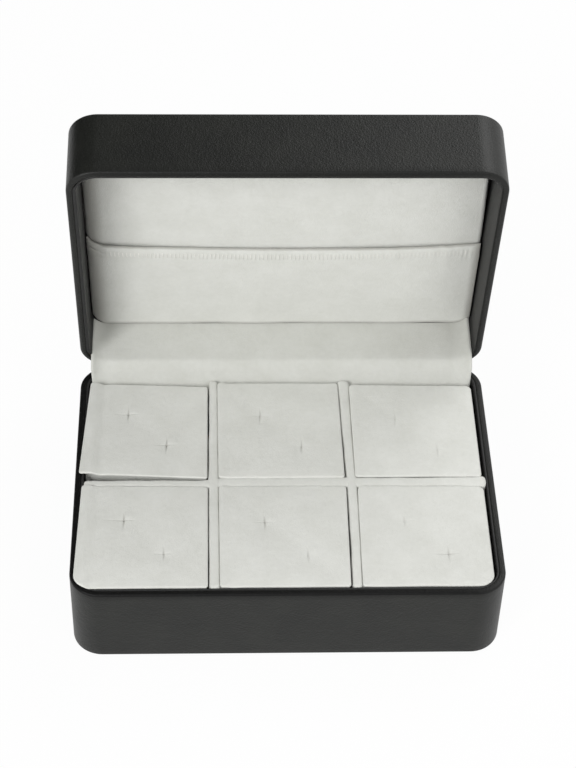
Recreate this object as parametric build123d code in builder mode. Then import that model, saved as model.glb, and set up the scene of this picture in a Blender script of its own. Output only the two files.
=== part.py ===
# Cufflink display box: a hinged case covered in leatherette, lined in velvet.
#
# Units are millimetres.  +X is right, +Y is back and +Z is up.  The origin is the
# centre of the base's footprint, on the surface that the box stands on.  Every lid
# piece is modelled with the lid shut and is then swung open about the pin line.

from build123d import *
import os
from math import cos, radians, sin, tan

os.makedirs("parts", exist_ok=True)

# ---------------------------------------------------------------- driving sizes

# Case
case_width = 160.0
case_depth = 118.0
base_height = 35.5
lid_height = 28.5
corner_radius = 11.3
lid_opening = 80.0
rim_gap = 0.3

# Boards, covering and liners
wrap_thickness = 0.5
wall_thickness = 1.9
liner_thickness = 0.8
liner_recess = 0.15
floor_thickness = 2.5
top_thickness = 2.2
tongue_height = 1.0
tongue_fit = 0.1
underside_thickness = 0.6
underside_inset = 3.0
wrap_turn_in = 8.0
foot_bevel = 0.8
rim_bevel = 0.9
crown_round = 1.0

# Dividers
divider_thickness = 3.6
divider_drop = 0.4
divider_round = 1.2
divider_left_angle = 0.0
divider_right_angle = -1.7
left_cell_width = 47.1
right_cell_width = 48.6
front_cell_depth = 49.3
lap_fit = 0.15
divider_end_gap = 0.3

# Pads
pad_gap = 0.3
pad_right_slack = 1.1
pad_rise = 0.6
pad_corner_radius = 1.8
pad_edge_bevel = 1.0
velvet_thickness = 0.8
foam_fit = 0.1
slit_length = 9.0
slit_width = 0.4
slit_depth = 11.0
slit_across = 15.4
slit_along = 16.4

# Hinges
hinge_side_inset = 34.0
leaf_width = 24.0
leaf_drop = 13.0
leaf_corner_radius = 2.5
pin_radius = 0.6
pin_clearance = 0.05
knuckle_radius = 1.2
middle_knuckle = 8.0
knuckle_gap = 0.2
notch_clearance = 0.3
crank_round = 0.7
rivet_radius = 0.8
rivet_head_radius = 1.4
rivet_head_height = 0.4
rivet_hole_fit = 0.05
rivet_grip = 1.3
rivet_spacing = 14.0
rivet_drop = 7.5

# Lid lining
panel_fit = 0.5
panel_card_thickness = 1.2
panel_pad_thickness = 3.6
panel_pad_bevel = 1.2
pocket_depth = 48.0
pocket_seat_gap = 0.2
pocket_cloth = 0.6
pocket_mouth_lift = 0.4
pocket_foot_lift = 1.7
hem_height = 6.0
elastic_height = 3.6
elastic_thickness = 0.4
elastic_fit = 0.05
elastic_inset = 2.0

# Hinge flap, and the card that its lower end is tucked behind the pads with
flap_side_play = 1.1
flap_shift = 0.7
flap_thickness = 0.8
flap_wall_gap = 0.3
flap_side_gap = 0.25
flap_rim_gap = 0.5
flap_lid_height = 18.3
flap_dip = 4.0
flap_tuck = 9.0
flap_rim_bend = 2.5
flap_well_bend = 2.0
hinge_well = 7.1
card_side_gap = 0.8
card_thickness = 1.8
card_drop = 1.6
card_gap = 0.1

# ------------------------------------------------------------- worked-out places

rim_thickness = wrap_thickness + wall_thickness + liner_thickness
board_inset = wrap_thickness + wall_thickness
base_bottom = underside_thickness
floor_under = base_bottom + wrap_thickness
wall_foot = floor_under + floor_thickness
floor_top = wall_foot + tongue_height
lid_rim = base_height + rim_gap
lid_top = lid_rim + lid_height
top_over = lid_top - wrap_thickness
wall_head = top_over - top_thickness
ceiling = wall_head - tongue_height
inner_half_width = case_width / 2 - rim_thickness
inner_front = -case_depth / 2 + rim_thickness
inner_rear = case_depth / 2 - rim_thickness
divider_left_x = -inner_half_width + left_cell_width + divider_thickness / 2
divider_right_x = inner_half_width - right_cell_width - divider_thickness / 2
divider_cross_y = inner_front + front_cell_depth + divider_thickness / 2
pads_rear = inner_rear - hinge_well
pads_top = base_height + pad_rise
divider_top = base_height - divider_drop
pin_y = case_depth / 2
pin_z = base_height + rim_gap / 2
pin_line = Axis((0, pin_y, pin_z), (1, 0, 0))
panel_card_under = ceiling - panel_card_thickness
panel_face = panel_card_under - panel_pad_thickness
hinge_reach = case_width / 2 - hinge_side_inset
hinge_places = (("left", -hinge_reach), ("right", hinge_reach))


# --------------------------------------------------------------------- helpers


def save(piece, name):
    """Name a piece that belongs to the base, and write its STEP file."""
    piece.label = name
    export_step(piece, f"parts/{name}.step")


def save_open(piece, name):
    """Swing a lid piece open about the pin line, name it and write its STEP file."""
    save(piece.rotate(pin_line, -lid_opening), name)


def case_outline(inset, mode=Mode.ADD):
    """Draw the case's plan, a rounded rectangle, this far inside its outer face."""
    RectangleRounded(
        case_width - 2 * inset, case_depth - 2 * inset, corner_radius - inset, mode=mode
    )


def case_solid(inset, low, high, low_bevel, high_bevel):
    """Make a solid with the case's plan, this far inside it, and bevelled edges."""
    with BuildPart() as solid:
        with BuildSketch(Plane.XY.offset(low)):
            case_outline(inset)
        extrude(amount=high - low)
        chamfer(solid.edges().group_by(Axis.Z)[0], low_bevel)
        chamfer(solid.edges().group_by(Axis.Z)[-1], high_bevel)
    return solid.part


def hinge_notches(side):
    """Make what both hinges need cut from a wall: a tab notch and a knuckle hollow.

    side is -1 below the pin line, in the base, and 1 above it, in the lid.
    """
    notch_width = leaf_width + 2 * notch_clearance
    with BuildPart() as notches:
        for _, hinge_x in hinge_places:
            with BuildSketch(Plane.YZ.offset(hinge_x)):
                with Locations((pin_y - rim_thickness, pin_z)):
                    Rectangle(
                        2 * rim_thickness,
                        knuckle_radius,
                        align=(Align.MIN, Align.MAX if side < 0 else Align.MIN),
                    )
                with Locations((pin_y, pin_z)):
                    Circle(knuckle_radius + notch_clearance)
            extrude(amount=notch_width / 2, both=True)
    return notches.part


def leaf_windows(side):
    """Make the cut in a liner where each hinge leaf lies flat on the board."""
    with BuildPart() as windows:
        with BuildSketch(Plane.XZ.offset(-inner_rear)):
            for _, hinge_x in hinge_places:
                with Locations((hinge_x, pin_z)):
                    Rectangle(
                        leaf_width + 2 * notch_clearance,
                        leaf_drop + notch_clearance,
                        align=(Align.CENTER, Align.MAX if side < 0 else Align.MIN),
                    )
        extrude(amount=liner_thickness, both=True)
    return windows.part


def rivet_places(side):
    """List where the rivets go through the leaves, as points on the rear wall."""
    return [
        (hinge_x + step * rivet_spacing / 2, pin_z + side * rivet_drop)
        for _, hinge_x in hinge_places
        for step in (-1, 1)
    ]


def rivet_holes(side):
    """Make the blind holes in a wall board that take the rivets' shanks."""
    with BuildPart() as holes:
        with BuildSketch(Plane.XZ.offset(-inner_rear)):
            with Locations(*rivet_places(side)):
                Circle(rivet_radius + rivet_hole_fit)
        extrude(amount=-(liner_thickness + rivet_grip))
    return holes.part


# ------------------------------------------------------------ base: case shell

base_block = case_solid(0, base_bottom, base_height, foot_bevel, rim_bevel)
base_core = case_solid(
    wrap_thickness,
    floor_under,
    base_height - wrap_thickness,
    foot_bevel - wrap_thickness,
    rim_bevel - wrap_thickness,
)
base_notches = hinge_notches(-1)

with BuildPart() as base_wall:
    add(base_core)
    split(bisect_by=Plane.XY.offset(wall_foot), keep=Keep.TOP)
    with BuildSketch(Plane.XY.offset(wall_foot)):
        case_outline(board_inset)
    extrude(amount=base_height, mode=Mode.SUBTRACT)
    add(base_notches, mode=Mode.SUBTRACT)
    add(rivet_holes(-1), mode=Mode.SUBTRACT)
save(base_wall.part, "base_wall")

with BuildPart() as base_floor:
    add(base_core)
    split(bisect_by=Plane.XY.offset(wall_foot), keep=Keep.BOTTOM)
    with BuildSketch(Plane.XY.offset(wall_foot)):
        case_outline(board_inset + tongue_fit)
    extrude(amount=tongue_height)
save(base_floor.part, "base_floor")

with BuildPart() as base_wrap:
    add(base_block)
    add(base_core, mode=Mode.SUBTRACT)
    with BuildSketch(Plane.XY.offset(base_height - wrap_thickness)):
        case_outline(board_inset)
    extrude(amount=wrap_thickness, mode=Mode.SUBTRACT)
    with BuildSketch(Plane.XY.offset(base_bottom)):
        case_outline(wrap_turn_in)
    extrude(amount=wrap_thickness, mode=Mode.SUBTRACT)
    add(base_notches, mode=Mode.SUBTRACT)
save(base_wrap.part, "base_wrap")

with BuildPart() as base_underside:
    with BuildSketch():
        case_outline(underside_inset)
    extrude(amount=underside_thickness)
save(base_underside.part, "base_underside")

with BuildPart() as base_liner:
    with BuildSketch(Plane.XY.offset(floor_top)):
        case_outline(board_inset)
        case_outline(rim_thickness, mode=Mode.SUBTRACT)
    extrude(amount=base_height - liner_recess - floor_top)
    add(leaf_windows(-1), mode=Mode.SUBTRACT)
save(base_liner.part, "base_liner")


# ------------------------------------------------------------- base: dividers

lengthwise_front = inner_front + divider_end_gap
lengthwise_rear = pads_rear
lengthwise_middle = (lengthwise_front + lengthwise_rear) / 2
half_height = (floor_top + divider_top) / 2


def divider_plane(divider_x, lean, height):
    """Give the plan plane at a lengthwise divider's middle, turned by its lean."""
    return Plane((divider_x, lengthwise_middle, height)).rotated((0, 0, lean))


def divider_line(divider_x, lean, y):
    """Give the X of a lengthwise divider's middle line at this Y."""
    return divider_x - (y - lengthwise_middle) * tan(radians(lean))


cross_plane = Plane((0, divider_cross_y, floor_top))
lengthwise_dividers = (
    ("divider_left", divider_left_x, divider_left_angle),
    ("divider_right", divider_right_x, divider_right_angle),
)

for divider_name, divider_x, lean in lengthwise_dividers:
    with BuildPart() as divider:
        with BuildSketch(divider_plane(divider_x, lean, floor_top)):
            Rectangle(divider_thickness, lengthwise_rear - lengthwise_front)
        extrude(amount=divider_top - floor_top)
        fillet(divider.edges().group_by(Axis.Z)[-1], divider_round)
        with BuildSketch(Plane((divider_x, divider_cross_y, half_height))):
            Rectangle(4 * divider_thickness, divider_thickness + 2 * lap_fit)
        extrude(amount=-half_height, mode=Mode.SUBTRACT)
    save(divider.part, divider_name)

with BuildPart() as divider_cross:
    with BuildSketch(cross_plane):
        Rectangle(2 * (inner_half_width - divider_end_gap), divider_thickness)
    extrude(amount=divider_top - floor_top)
    fillet(divider_cross.edges().group_by(Axis.Z)[-1], divider_round)
    for _, divider_x, lean in lengthwise_dividers:
        with BuildSketch(divider_plane(divider_x, lean, half_height)):
            Rectangle(divider_thickness + 2 * lap_fit, 2 * case_depth)
        extrude(amount=divider_top, mode=Mode.SUBTRACT)
save(divider_cross.part, "divider_cross")


# ------------------------------------------------------------------ base: pads

side_reach = divider_thickness / 2 + pad_gap


def wall_line(x):
    """Give a column boundary that runs straight from front to back at this X."""
    return lambda y: x


def beside(divider, side):
    """Give the column boundary beside a lengthwise divider, on its left or right."""
    _, divider_x, lean = divider
    return lambda y: divider_line(divider_x, lean, y) + side * side_reach


left_divider, right_divider = lengthwise_dividers
columns = {
    "left": (wall_line(-inner_half_width + pad_gap), beside(left_divider, -1)),
    "middle": (beside(left_divider, 1), beside(right_divider, -1)),
    "right": (
        beside(right_divider, 1),
        wall_line(inner_half_width - pad_gap - pad_right_slack),
    ),
}
rows = {
    "rear": (divider_cross_y + side_reach, pads_rear),
    "front": (inner_front + pad_gap, divider_cross_y - side_reach),
}


def pad_block(column, row, inset, low, high):
    """Make a block with a cell's plan, this far inside it, its corners rounded.

    The front outer corners follow the rounded corners of the case.
    """
    left_line, right_line = columns[column]
    front, rear = rows[row]
    corners = [
        (left_line(front), front),
        (right_line(front), front),
        (right_line(rear), rear),
        (left_line(rear), rear),
    ]
    radii = dict.fromkeys(corners, pad_corner_radius)
    if row == "front" and column != "middle":
        outer = corners[0] if column == "left" else corners[1]
        radii[outer] = corner_radius - rim_thickness
    with BuildPart() as block:
        with BuildSketch(Plane.XY.offset(low)) as plan:
            with BuildLine():
                Polyline(*corners, close=True)
            make_face()
            for corner, radius in radii.items():
                fillet(plan.vertices().sort_by_distance((*corner, 0))[0], radius)
            if inset:
                offset(amount=-inset)
        extrude(amount=high - low)
    return block


def cross_slits(column, row, low, high):
    """Make the two cross-shaped cuts of a pad, one for each cufflink of a pair."""
    left_line, right_line = columns[column]
    front, rear = rows[row]
    middle_y = (front + rear) / 2
    middle_x = (left_line(middle_y) + right_line(middle_y)) / 2
    with BuildPart() as slits:
        with BuildSketch(Plane((middle_x, middle_y, low))):
            for side in (-1, 1):
                with Locations((side * slit_across / 2, -side * slit_along / 2)):
                    Rectangle(slit_length, slit_width)
                    Rectangle(slit_width, slit_length)
        extrude(amount=high - low)
    return slits.part


for row_name in rows:
    for column_name in columns:
        cell = f"{row_name}_{column_name}"
        slit_cuts = cross_slits(column_name, row_name, pads_top - slit_depth, pads_top)
        hollow = pad_block(
            column_name, row_name, velvet_thickness, floor_top, pads_top - velvet_thickness
        )
        with BuildPart() as pad_cover:
            add(pad_block(column_name, row_name, 0, floor_top, pads_top).part)
            chamfer(pad_cover.edges().group_by(Axis.Z)[-1], pad_edge_bevel)
            add(hollow.part, mode=Mode.SUBTRACT)
            add(slit_cuts, mode=Mode.SUBTRACT)
        save(pad_cover.part, f"pad_cover_{cell}")

        with BuildPart() as pad_foam:
            add(
                pad_block(
                    column_name,
                    row_name,
                    velvet_thickness + foam_fit,
                    floor_top,
                    pads_top - velvet_thickness - foam_fit,
                ).part
            )
            add(slit_cuts, mode=Mode.SUBTRACT)
        save(pad_foam.part, f"pad_foam_{cell}")


# --------------------------------------------------------------------- hinges

leaf_thickness = liner_thickness
pin_hole_radius = pin_radius + pin_clearance
outer_knuckle = (leaf_width - middle_knuckle) / 2 - knuckle_gap
outer_knuckle_x = (leaf_width - outer_knuckle) / 2
outer_spans = ((-outer_knuckle_x, outer_knuckle), (outer_knuckle_x, outer_knuckle))
middle_span = ((0, middle_knuckle),)
pin_plane = Plane((0, pin_y, pin_z), x_dir=(0, 1, 0), z_dir=(1, 0, 0))


def rivet_planes(hinge_x):
    """Give a plane for each rivet of a base leaf, on its face and looking out of it."""
    return [
        Plane(
            (hinge_x + step * rivet_spacing / 2, inner_rear, pin_z - rivet_drop),
            x_dir=(1, 0, 0),
            z_dir=(0, -1, 0),
        )
        for step in (-1, 1)
    ]


def hinge_leaf(hinge_x, knuckle_spans):
    """Make a leaf of the base: a plate flat on the wall, cranked out over the rim.

    Its end is rolled into a knuckle round the pin line over each (middle, width) span.
    """
    with BuildPart() as leaf:
        with BuildSketch(Plane.XZ.offset(-inner_rear)) as plate:
            with Locations((hinge_x, pin_z - leaf_drop)):
                Rectangle(
                    leaf_width,
                    leaf_drop - knuckle_radius + leaf_thickness,
                    align=(Align.CENTER, Align.MIN),
                )
            fillet(plate.vertices().group_by(Axis.Y)[0], leaf_corner_radius)
        extrude(amount=-leaf_thickness)
        for middle, width in knuckle_spans:
            with BuildSketch(pin_plane.offset(hinge_x + middle)):
                with Locations((0, -knuckle_radius)):
                    Rectangle(rim_thickness, leaf_thickness, align=(Align.MAX, Align.MIN))
                Circle(knuckle_radius)
            extrude(amount=width / 2, both=True)
        front_edges = leaf.edges().filter_by(Axis.X).group_by(Axis.Y)[0]
        fillet(front_edges.group_by(Axis.Z)[-1], crank_round)
        with BuildSketch(pin_plane.offset(hinge_x)):
            Circle(pin_hole_radius)
        extrude(amount=leaf_width, both=True, mode=Mode.SUBTRACT)
        with Locations(*rivet_planes(hinge_x)):
            CounterBoreHole(
                rivet_radius + rivet_hole_fit,
                rivet_head_radius + rivet_hole_fit,
                counter_bore_depth=rivet_head_height,
                depth=leaf_thickness,
            )
    return leaf.part


def rivets():
    """Make the base's four flat-headed rivets, sunk flush with the leaves."""
    places = [plane for _, hinge_x in hinge_places for plane in rivet_planes(hinge_x)]
    into_wall = (Align.CENTER, Align.CENTER, Align.MAX)
    with BuildPart() as fasteners:
        with Locations(*places):
            Cylinder(rivet_radius, leaf_thickness + rivet_grip, align=into_wall)
            Cylinder(rivet_head_radius, rivet_head_height, align=into_wall)
    return fasteners.part


across_rims = Plane.XY.offset(pin_z)

for hinge_name, hinge_x in hinge_places:
    save(hinge_leaf(hinge_x, outer_spans), f"hinge_leaf_base_{hinge_name}")
    lid_leaf = mirror(hinge_leaf(hinge_x, middle_span), about=across_rims)
    save_open(lid_leaf, f"hinge_leaf_lid_{hinge_name}")
    with BuildPart() as hinge_pin:
        with BuildSketch(pin_plane.offset(hinge_x)):
            Circle(pin_radius)
        extrude(amount=leaf_width / 2, both=True)
    save(hinge_pin.part, f"hinge_pin_{hinge_name}")

save(rivets(), "hinge_rivets_base")
save_open(mirror(rivets(), about=across_rims), "hinge_rivets_lid")


# ------------------------------------------------------------- lid: case shell

lid_core = case_solid(
    wrap_thickness,
    lid_rim + wrap_thickness,
    top_over,
    rim_bevel - wrap_thickness,
    crown_round - wrap_thickness,
)
lid_notches = hinge_notches(1)

with BuildPart() as lid_wall:
    add(lid_core)
    split(bisect_by=Plane.XY.offset(wall_head), keep=Keep.BOTTOM)
    with BuildSketch(Plane.XY.offset(wall_head)):
        case_outline(board_inset)
    extrude(amount=-lid_height, mode=Mode.SUBTRACT)
    add(lid_notches, mode=Mode.SUBTRACT)
    add(rivet_holes(1), mode=Mode.SUBTRACT)
save_open(lid_wall.part, "lid_wall")

with BuildPart() as lid_top_board:
    add(lid_core)
    split(bisect_by=Plane.XY.offset(wall_head), keep=Keep.TOP)
    with BuildSketch(Plane.XY.offset(ceiling)):
        case_outline(board_inset + tongue_fit)
    extrude(amount=tongue_height)
save_open(lid_top_board.part, "lid_top_board")

with BuildPart() as lid_wrap:
    with BuildSketch(Plane.XY.offset(lid_rim)):
        case_outline(0)
    extrude(amount=lid_height)
    chamfer(lid_wrap.edges().group_by(Axis.Z)[0], rim_bevel)
    fillet(lid_wrap.edges().group_by(Axis.Z)[-1], crown_round)
    add(lid_core, mode=Mode.SUBTRACT)
    with BuildSketch(Plane.XY.offset(lid_rim)):
        case_outline(board_inset)
    extrude(amount=wrap_thickness, mode=Mode.SUBTRACT)
    add(lid_notches, mode=Mode.SUBTRACT)
save_open(lid_wrap.part, "lid_wrap")

with BuildPart() as lid_liner:
    with BuildSketch(Plane.XY.offset(ceiling)):
        case_outline(board_inset)
        case_outline(rim_thickness, mode=Mode.SUBTRACT)
    extrude(amount=lid_rim + liner_recess - ceiling)
    add(leaf_windows(1), mode=Mode.SUBTRACT)
save_open(lid_liner.part, "lid_liner")


# ----------------------------------------------------------------- lid: lining

with BuildPart() as lid_panel_card:
    with BuildSketch(Plane.XY.offset(panel_card_under)):
        case_outline(rim_thickness + panel_fit)
    extrude(amount=panel_card_thickness)
save_open(lid_panel_card.part, "lid_panel_card")

with BuildPart() as lid_panel_pad:
    with BuildSketch(Plane.XY.offset(panel_face)):
        case_outline(rim_thickness + panel_fit)
    extrude(amount=panel_pad_thickness)
    chamfer(lid_panel_pad.edges().group_by(Axis.Z)[0], panel_pad_bevel)
save_open(lid_panel_pad.part, "lid_panel_pad")

# The pocket is a shallow pouch that is sewn to the panel at its sides and foot.  Its
# mouth looks to the lid's free edge, and its hem holds a flat elastic.
flap_reach = flap_wall_gap + flap_thickness
pocket_inset = rim_thickness + flap_reach + flap_wall_gap
pocket_foot = case_depth / 2 - pocket_inset
pocket_mouth = pocket_foot - pocket_depth
pocket_half_width = case_width / 2 - pocket_inset
pocket_seat = panel_face - pocket_seat_gap
elastic_slot = elastic_thickness + 2 * elastic_fit
hem_thickness = 2 * pocket_cloth + elastic_slot
hem_face = panel_face - pocket_mouth_lift - hem_thickness
hem_plane = Plane.YZ.offset(0)
elastic_centre = (
    pocket_mouth + hem_height / 2,
    hem_face + pocket_cloth + elastic_slot / 2,
)


def pocket_wedge(inset, mouth_level, foot_level, ceiling_level):
    """Make the pocket's wedge, which deepens from its mouth to its foot."""
    with BuildPart() as wedge:
        with BuildSketch(hem_plane):
            with BuildLine():
                Polyline(
                    (pocket_mouth, mouth_level),
                    (pocket_foot, foot_level),
                    (pocket_foot, ceiling_level),
                    (pocket_mouth, ceiling_level),
                    close=True,
                )
            make_face()
        extrude(amount=pocket_half_width, both=True)
        with BuildSketch(Plane.XY.offset(lid_rim)):
            case_outline(inset)
        extrude(amount=lid_height, mode=Mode.INTERSECT)
    return wedge.part


foot_level = panel_face - pocket_foot_lift
pocket_hollow = pocket_wedge(
    pocket_inset + pocket_cloth, hem_face + pocket_cloth, foot_level, panel_face
)

with BuildPart() as lid_pocket:
    add(pocket_wedge(pocket_inset, hem_face, foot_level - pocket_cloth, pocket_seat))
    add(pocket_hollow, mode=Mode.SUBTRACT)
    with BuildSketch(hem_plane):
        with Locations((pocket_mouth, hem_face)):
            Rectangle(hem_height, hem_thickness, align=(Align.MIN, Align.MIN))
    extrude(amount=pocket_half_width, both=True)
    with BuildSketch(hem_plane):
        with Locations(elastic_centre):
            Rectangle(elastic_height + 2 * elastic_fit, elastic_slot)
    extrude(amount=pocket_half_width, both=True, mode=Mode.SUBTRACT)
save_open(lid_pocket.part, "lid_pocket")

with BuildPart() as pocket_elastic:
    with BuildSketch(hem_plane):
        with Locations(elastic_centre):
            Rectangle(elastic_height, elastic_thickness)
    extrude(amount=pocket_half_width - elastic_inset, both=True)
save_open(pocket_elastic.part, "pocket_elastic")


# ------------------------------------------------------------------ hinge flap

# The flap is drawn with the lid open.  Its places are (back, up) from the pin line.


def opened(back, up):
    """Swing a place of the shut lid open about the pin line."""
    turn = radians(lid_opening)
    return Vector(back * cos(turn) + up * sin(turn), up * cos(turn) - back * sin(turn))


def crossing(point, direction, other, other_direction):
    """Give the place where two straight lines of the section cross."""
    ahead = (other - point).cross(other_direction).Z / direction.cross(other_direction).Z
    return point + direction * ahead


half_flap = flap_thickness / 2
wall_reach = rim_thickness + flap_wall_gap + half_flap
lid_corner = opened(-rim_thickness, rim_gap / 2)
base_corner = Vector(-rim_thickness, -rim_gap / 2)
over_rims = (base_corner - lid_corner).normalized()
stand_off = Vector(over_rims.Y, -over_rims.X) * (flap_rim_gap + half_flap)
flap_head = opened(-wall_reach, flap_lid_height)
lid_bend = crossing(
    flap_head, opened(0, 1), lid_corner + stand_off, over_rims
)
base_bend = base_corner + stand_off
well_bend = Vector(-(rim_thickness + hinge_well - pad_gap - half_flap), -flap_dip)
flap_foot = well_bend - Vector(0, flap_tuck)

base_ring_top = base_height + rim_gap / 2
with BuildPart() as base_ring:
    with BuildSketch():
        case_outline(0)
        case_outline(rim_thickness + flap_side_gap, mode=Mode.SUBTRACT)
    extrude(amount=base_ring_top)
with BuildPart() as lid_ring:
    with BuildSketch(Plane.XY.offset(base_ring_top)):
        case_outline(0)
        case_outline(rim_thickness + flap_side_gap, mode=Mode.SUBTRACT)
    extrude(amount=lid_height)

with BuildPart() as hinge_flap:
    with BuildSketch(pin_plane.offset(flap_shift)):
        with BuildLine() as run:
            FilletPolyline(
                flap_head,
                lid_bend,
                base_bend,
                well_bend,
                flap_foot,
                radius=[flap_rim_bend, flap_rim_bend, flap_well_bend],
            )
            offset(amount=half_flap, side=Side.BOTH, kind=Kind.INTERSECTION)
        make_face()
    extrude(amount=inner_half_width - flap_side_play / 2, both=True)
    add(base_ring.part, mode=Mode.SUBTRACT)
    add(lid_ring.part.rotate(pin_line, -lid_opening), mode=Mode.SUBTRACT)
save(hinge_flap.part, "hinge_flap")

card_front = pin_y + well_bend.X + half_flap + card_gap
with BuildPart() as flap_card:
    with BuildSketch(Plane.XY.offset(floor_top)):
        case_outline(rim_thickness + card_side_gap)
        with Locations((0, card_front)):
            Rectangle(
                case_width,
                card_thickness,
                align=(Align.CENTER, Align.MIN),
                mode=Mode.INTERSECT,
            )
    extrude(amount=pin_z - flap_dip - card_drop - floor_top)
save(flap_card.part, "flap_card")
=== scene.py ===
"""Cufflink display box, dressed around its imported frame.

Sizes are in millimetres in the frame's axes: +X is right, +Y is back and +Z is up, and
the origin is the middle of the base's footprint.  Pieces of the lid are worked out with
the lid shut, and are then swung open about the pin line, which is how they stand at rest.
"""

import logging
from collections.abc import Callable, Sequence
from dataclasses import dataclass
from enum import Enum
from functools import cache
from math import atan, cos, pi, radians, sin
from typing import Any, Protocol

import bpy
import numpy as np
from mathutils import Matrix, Vector
from numpy.typing import NDArray


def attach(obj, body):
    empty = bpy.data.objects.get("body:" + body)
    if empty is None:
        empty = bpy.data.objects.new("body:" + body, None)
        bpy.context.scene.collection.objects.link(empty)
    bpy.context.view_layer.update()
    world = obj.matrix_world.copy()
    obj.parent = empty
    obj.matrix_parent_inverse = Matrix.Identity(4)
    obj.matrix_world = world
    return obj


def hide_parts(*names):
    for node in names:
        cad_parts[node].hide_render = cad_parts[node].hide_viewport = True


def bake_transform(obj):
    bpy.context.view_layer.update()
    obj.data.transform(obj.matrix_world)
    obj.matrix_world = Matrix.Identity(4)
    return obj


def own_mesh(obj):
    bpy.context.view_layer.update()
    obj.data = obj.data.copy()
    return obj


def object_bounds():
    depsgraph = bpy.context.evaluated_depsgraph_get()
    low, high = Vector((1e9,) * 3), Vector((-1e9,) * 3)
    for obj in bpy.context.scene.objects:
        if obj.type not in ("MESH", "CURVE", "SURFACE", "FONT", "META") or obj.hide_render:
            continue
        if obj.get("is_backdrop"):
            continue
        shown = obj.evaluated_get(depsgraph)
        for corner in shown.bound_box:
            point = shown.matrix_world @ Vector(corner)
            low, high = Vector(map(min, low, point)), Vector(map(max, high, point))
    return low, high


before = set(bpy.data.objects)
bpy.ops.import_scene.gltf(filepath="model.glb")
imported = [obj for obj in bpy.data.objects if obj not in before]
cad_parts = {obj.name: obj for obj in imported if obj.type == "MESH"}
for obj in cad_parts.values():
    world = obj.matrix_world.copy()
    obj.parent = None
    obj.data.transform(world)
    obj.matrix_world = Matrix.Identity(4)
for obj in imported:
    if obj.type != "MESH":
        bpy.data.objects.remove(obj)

Points = NDArray[np.float64]
Faces = NDArray[np.int64]
Pair = tuple[float, float]
Triple = tuple[float, float, float]
Waves = tuple[float, tuple[float, ...]]
Colour = Triple
Socket = bpy.types.NodeSocket

MM = 0.001
# Painted shade along the leatherette's rim.
RIM_SHADE_MARK = "rim"
# Painted shade on the velvet, partly the darker ground where the pile parts in the slits.
SHADE_AND_PARTING_MARK = "crease"
WHITE = (1.0, 1.0, 1.0, 1.0)
TINY = 1e-6
MIDDLE = (0.35, 0.65)
WAVE_SCALE = 0.314

log = logging.getLogger("cufflink_box")


# ------------------------------ sizes


@dataclass(frozen=True)
class CaseSizes:
    """The case's sizes, with the places that follow from them, in millimetres."""

    width: float = 160.0
    depth: float = 118.0
    base_height: float = 35.5
    lid_height: float = 28.5
    corner_radius: float = 11.3
    lid_opening: float = 80.0
    rim_gap: float = 0.3
    wrap: float = 0.5
    board: float = 1.9
    liner: float = 0.8
    liner_recess: float = 0.15
    foot: float = 0.6
    floor_top: float = 4.6
    ceiling: float = 60.6
    panel_face: float = 55.8
    panel_card_under: float = 59.4
    hinge_reach: float = 46.0
    leaf_width: float = 24.0
    leaf_drop: float = 13.0
    notch_clearance: float = 0.3
    notch_depth: float = 1.45

    @property
    def board_inset(self) -> float:
        """Give how far the wall board's inner face is inside the outer face."""
        return self.wrap + self.board

    @property
    def rim_thickness(self) -> float:
        """Give the whole thickness of a wall at its rim."""
        return self.board_inset + self.liner

    @property
    def inner_half_width(self) -> float:
        """Give half the width between the liners."""
        return self.width / 2 - self.rim_thickness

    @property
    def inner_rear(self) -> float:
        """Give the Y of the rear liner's face."""
        return self.depth / 2 - self.rim_thickness

    @property
    def lid_rim(self) -> float:
        """Give the height of the shut lid's rim."""
        return self.base_height + self.rim_gap

    @property
    def lid_top(self) -> float:
        """Give the height of the shut lid's top."""
        return self.lid_rim + self.lid_height

    @property
    def pin_y(self) -> float:
        """Give the Y of the pin line."""
        return self.depth / 2

    @property
    def pin_z(self) -> float:
        """Give the height of the pin line."""
        return self.base_height + self.rim_gap / 2


CASE = CaseSizes()


# ------------------------------ shapes


def ease(low: float, high: float, values: Any) -> Points:
    """Rise from 0 at low to 1 at high: 3 t squared - 2 t cubed of the share t of the way."""
    share = np.clip((np.asarray(values, float) - low) / (high - low), 0.0, 1.0)
    return share * share * (3.0 - 2.0 * share)


def bell(values: Any, middle: float, width: float) -> Points:
    """Give a bump: e to the minus square of the distance from its middle in widths."""
    return np.exp(-(((np.asarray(values, float) - middle) / width) ** 2))


def wander(values: Any, wavelengths: Sequence[float], seed: int) -> Points:
    """Give a gentle unevenness: the mean of sine waves with seeded phases.

    Args:
        values: The places along the piece.
        wavelengths: The length of each wave.
        seed: What sets the phases.

    Returns:
        The unevenness at each place, within -1 and 1.
    """
    phases = np.random.default_rng(seed).uniform(0.0, 2.0 * pi, len(wavelengths))
    waves = [
        np.sin(2.0 * pi * np.asarray(values, float) / length + phase)
        for length, phase in zip(wavelengths, phases)
    ]
    return np.mean(waves, axis=0)


def step_up(step: Triple, places: Any) -> Points:
    """Rise from 0 at a step's second number to its first number at its third."""
    return step[0] * ease(step[1], step[2], places)


def bump(shape: Triple, places: Any) -> Points:
    """Give a bell from its height, its middle and its width."""
    return shape[0] * bell(places, shape[1], shape[2])


def ripple(wave: Waves, places: Any, seed: int) -> Points:
    """Give a gentle unevenness from its depth and its wavelengths."""
    return wave[0] * wander(places, wave[1], seed)


def unit(vectors: Points) -> Points:
    """Scale vectors to length 1 along their last axis."""
    return vectors / np.linalg.norm(vectors, axis=-1, keepdims=True)


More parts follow.
